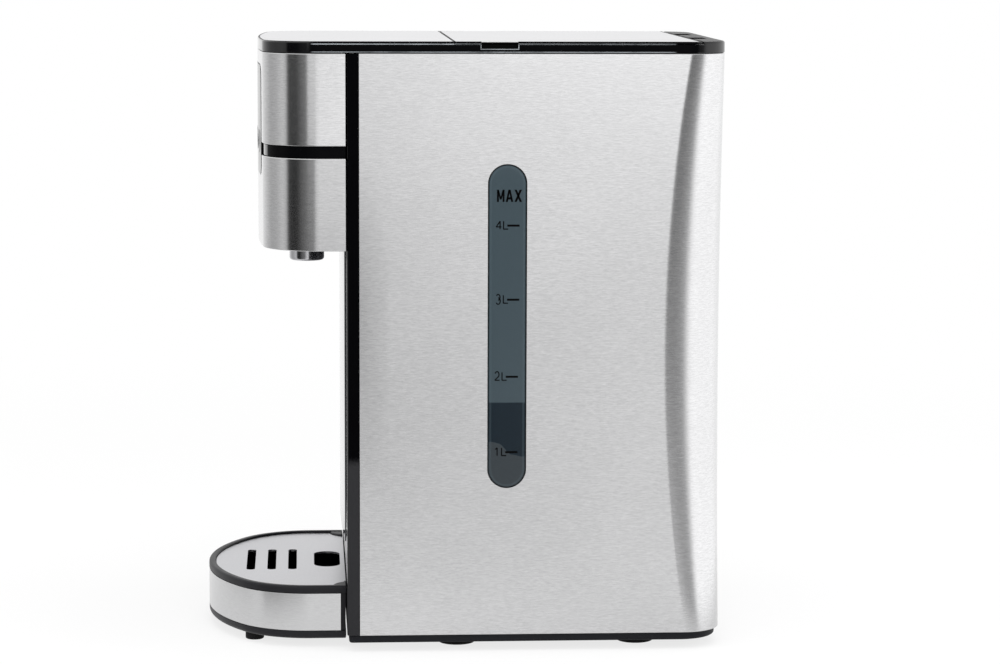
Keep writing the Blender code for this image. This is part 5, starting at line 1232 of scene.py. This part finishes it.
def worldSurface(start):
    # white to the camera; to metal a studio with dark gaps between its soft boxes; an even level for the rest
    x, y, z = coordinates(start, "Generated")
    around = start.maths("ARCTAN2", y, x) * (180 / math.pi)
    up = start.maths("ARCSINE", z) * (180 / math.pi)
    stops = [((azimuth + 180) / 360, (share, share, share)) for azimuth, share in studio["around"]]
    level = start.node("ShaderNodeValToRGB", {"stops": stops}, {0: around * (1 / 360) + 0.5})
    level = level * studio["brightest"]
    ahead = around.between(*studio["ahead"])
    right = around.rise(*studio["sideFade"])
    depth = (1 - right) * studio["stripNear"] + studio["stripFar"]
    level = level * (1 - ahead * up.between(*studio["strip"]) * depth)
    gain = right * (studio["aboveFar"] - studio["aboveNear"]) + studio["aboveNear"]
    level = level + ahead * up.between(*studio["above"]) * gain
    near, far, share = studio["behind"]
    behind = start.maths("ABSOLUTE", around).rise(near, far)
    level = level + behind * (1 - up.rise(*studio["behindFrom"])) * share
    dim, bright, share = studio["lowRear"]
    level = level + around.between(*studio["lowRearAround"]) * (1 - up.rise(dim, bright)) * share
    floorLine, soft, share = studio["fill"]
    level = level + around.between(*studio["fillAround"]) * up.rise(floorLine - soft, floorLine + soft) * share
    level = start.node("ShaderNodeMix", {"data_type": "FLOAT"},
                       {0: up.rise(*studio["highFrom"]), 2: level, 3: studio["high"]})
    level = level + up.rise(*studio["overheadFrom"]) * studio["overhead"]
    glossy, seen = seenBy(start, "Glossy"), seenBy(start, "Camera", "Transmission")
    strength = glossy * level + seen + (1 - glossy) * (1 - seen) * studio["ambient"]
    return start.node("ShaderNodeBackground", {}, {"Color": (1.0, 1.0, 1.0, 1.0), "Strength": strength})


lamps = {"top": ((0.3, 0.1, 1.9), (1.8, 1.8), 26.0), "side": ((2.1, 0.3, 1.25), (1.4, 0.7), 12.0),
         "front": ((0.4, -2.0, 0.9), (0.9, 1.0), 10.0), "rear": ((0.3, 2.0, 0.7), (1.0, 1.2), 12.0)}


def makeLamps():
    # soft boxes for the matt surfaces; the metal's own view of the studio is the world's
    aim = Vector(studio["lampAim"])
    for name, (spot, size, power) in lamps.items():
        light = bpy.data.lights.new(name + "_lamp", "AREA")
        light.shape, light.size, light.size_y, light.energy = "RECTANGLE", *size, power
        lamp = placed(name + "_lamp", light)
        lamp.location = spot
        lamp.rotation_euler = (aim - Vector(spot)).to_track_quat("-Z", "Y").to_euler()
        lamp.visible_glossy = False


view = {"place": (1.884318, -0.092837, 0.413301), "azimuth": 86.377, "elevation": 7.187, "roll": 0.199,
        "lens": 112.152, "sensor": 36.0}


def makeCamera():
    azimuth, elevation, roll = (math.radians(view[key]) for key in ("azimuth", "elevation", "roll"))
    back = Vector((math.sin(azimuth) * math.cos(elevation), -math.cos(azimuth) * math.cos(elevation),
                   math.sin(elevation)))
    right = (-back).cross(Vector((0.0, 0.0, 1.0))).normalized()
    up = right.cross(-back)
    right, up = (math.cos(roll) * right + math.sin(roll) * up, math.cos(roll) * up - math.sin(roll) * right)
    data = bpy.data.cameras.new("camera")
    data.lens, data.sensor_width = view["lens"], view["sensor"]
    camera = placed("camera", data)
    camera.matrix_world = Matrix.Translation(view["place"]) @ Matrix((right, up, back)).transposed().to_4x4()
    bpy.context.scene.camera = camera
    bpy.context.scene.view_settings.view_transform = "Standard"


makeFloor()
bpy.context.scene.world = stageMaterial(bpy.data.worlds, "studio", worldSurface)
makeLamps()
makeCamera()
print("studio made")
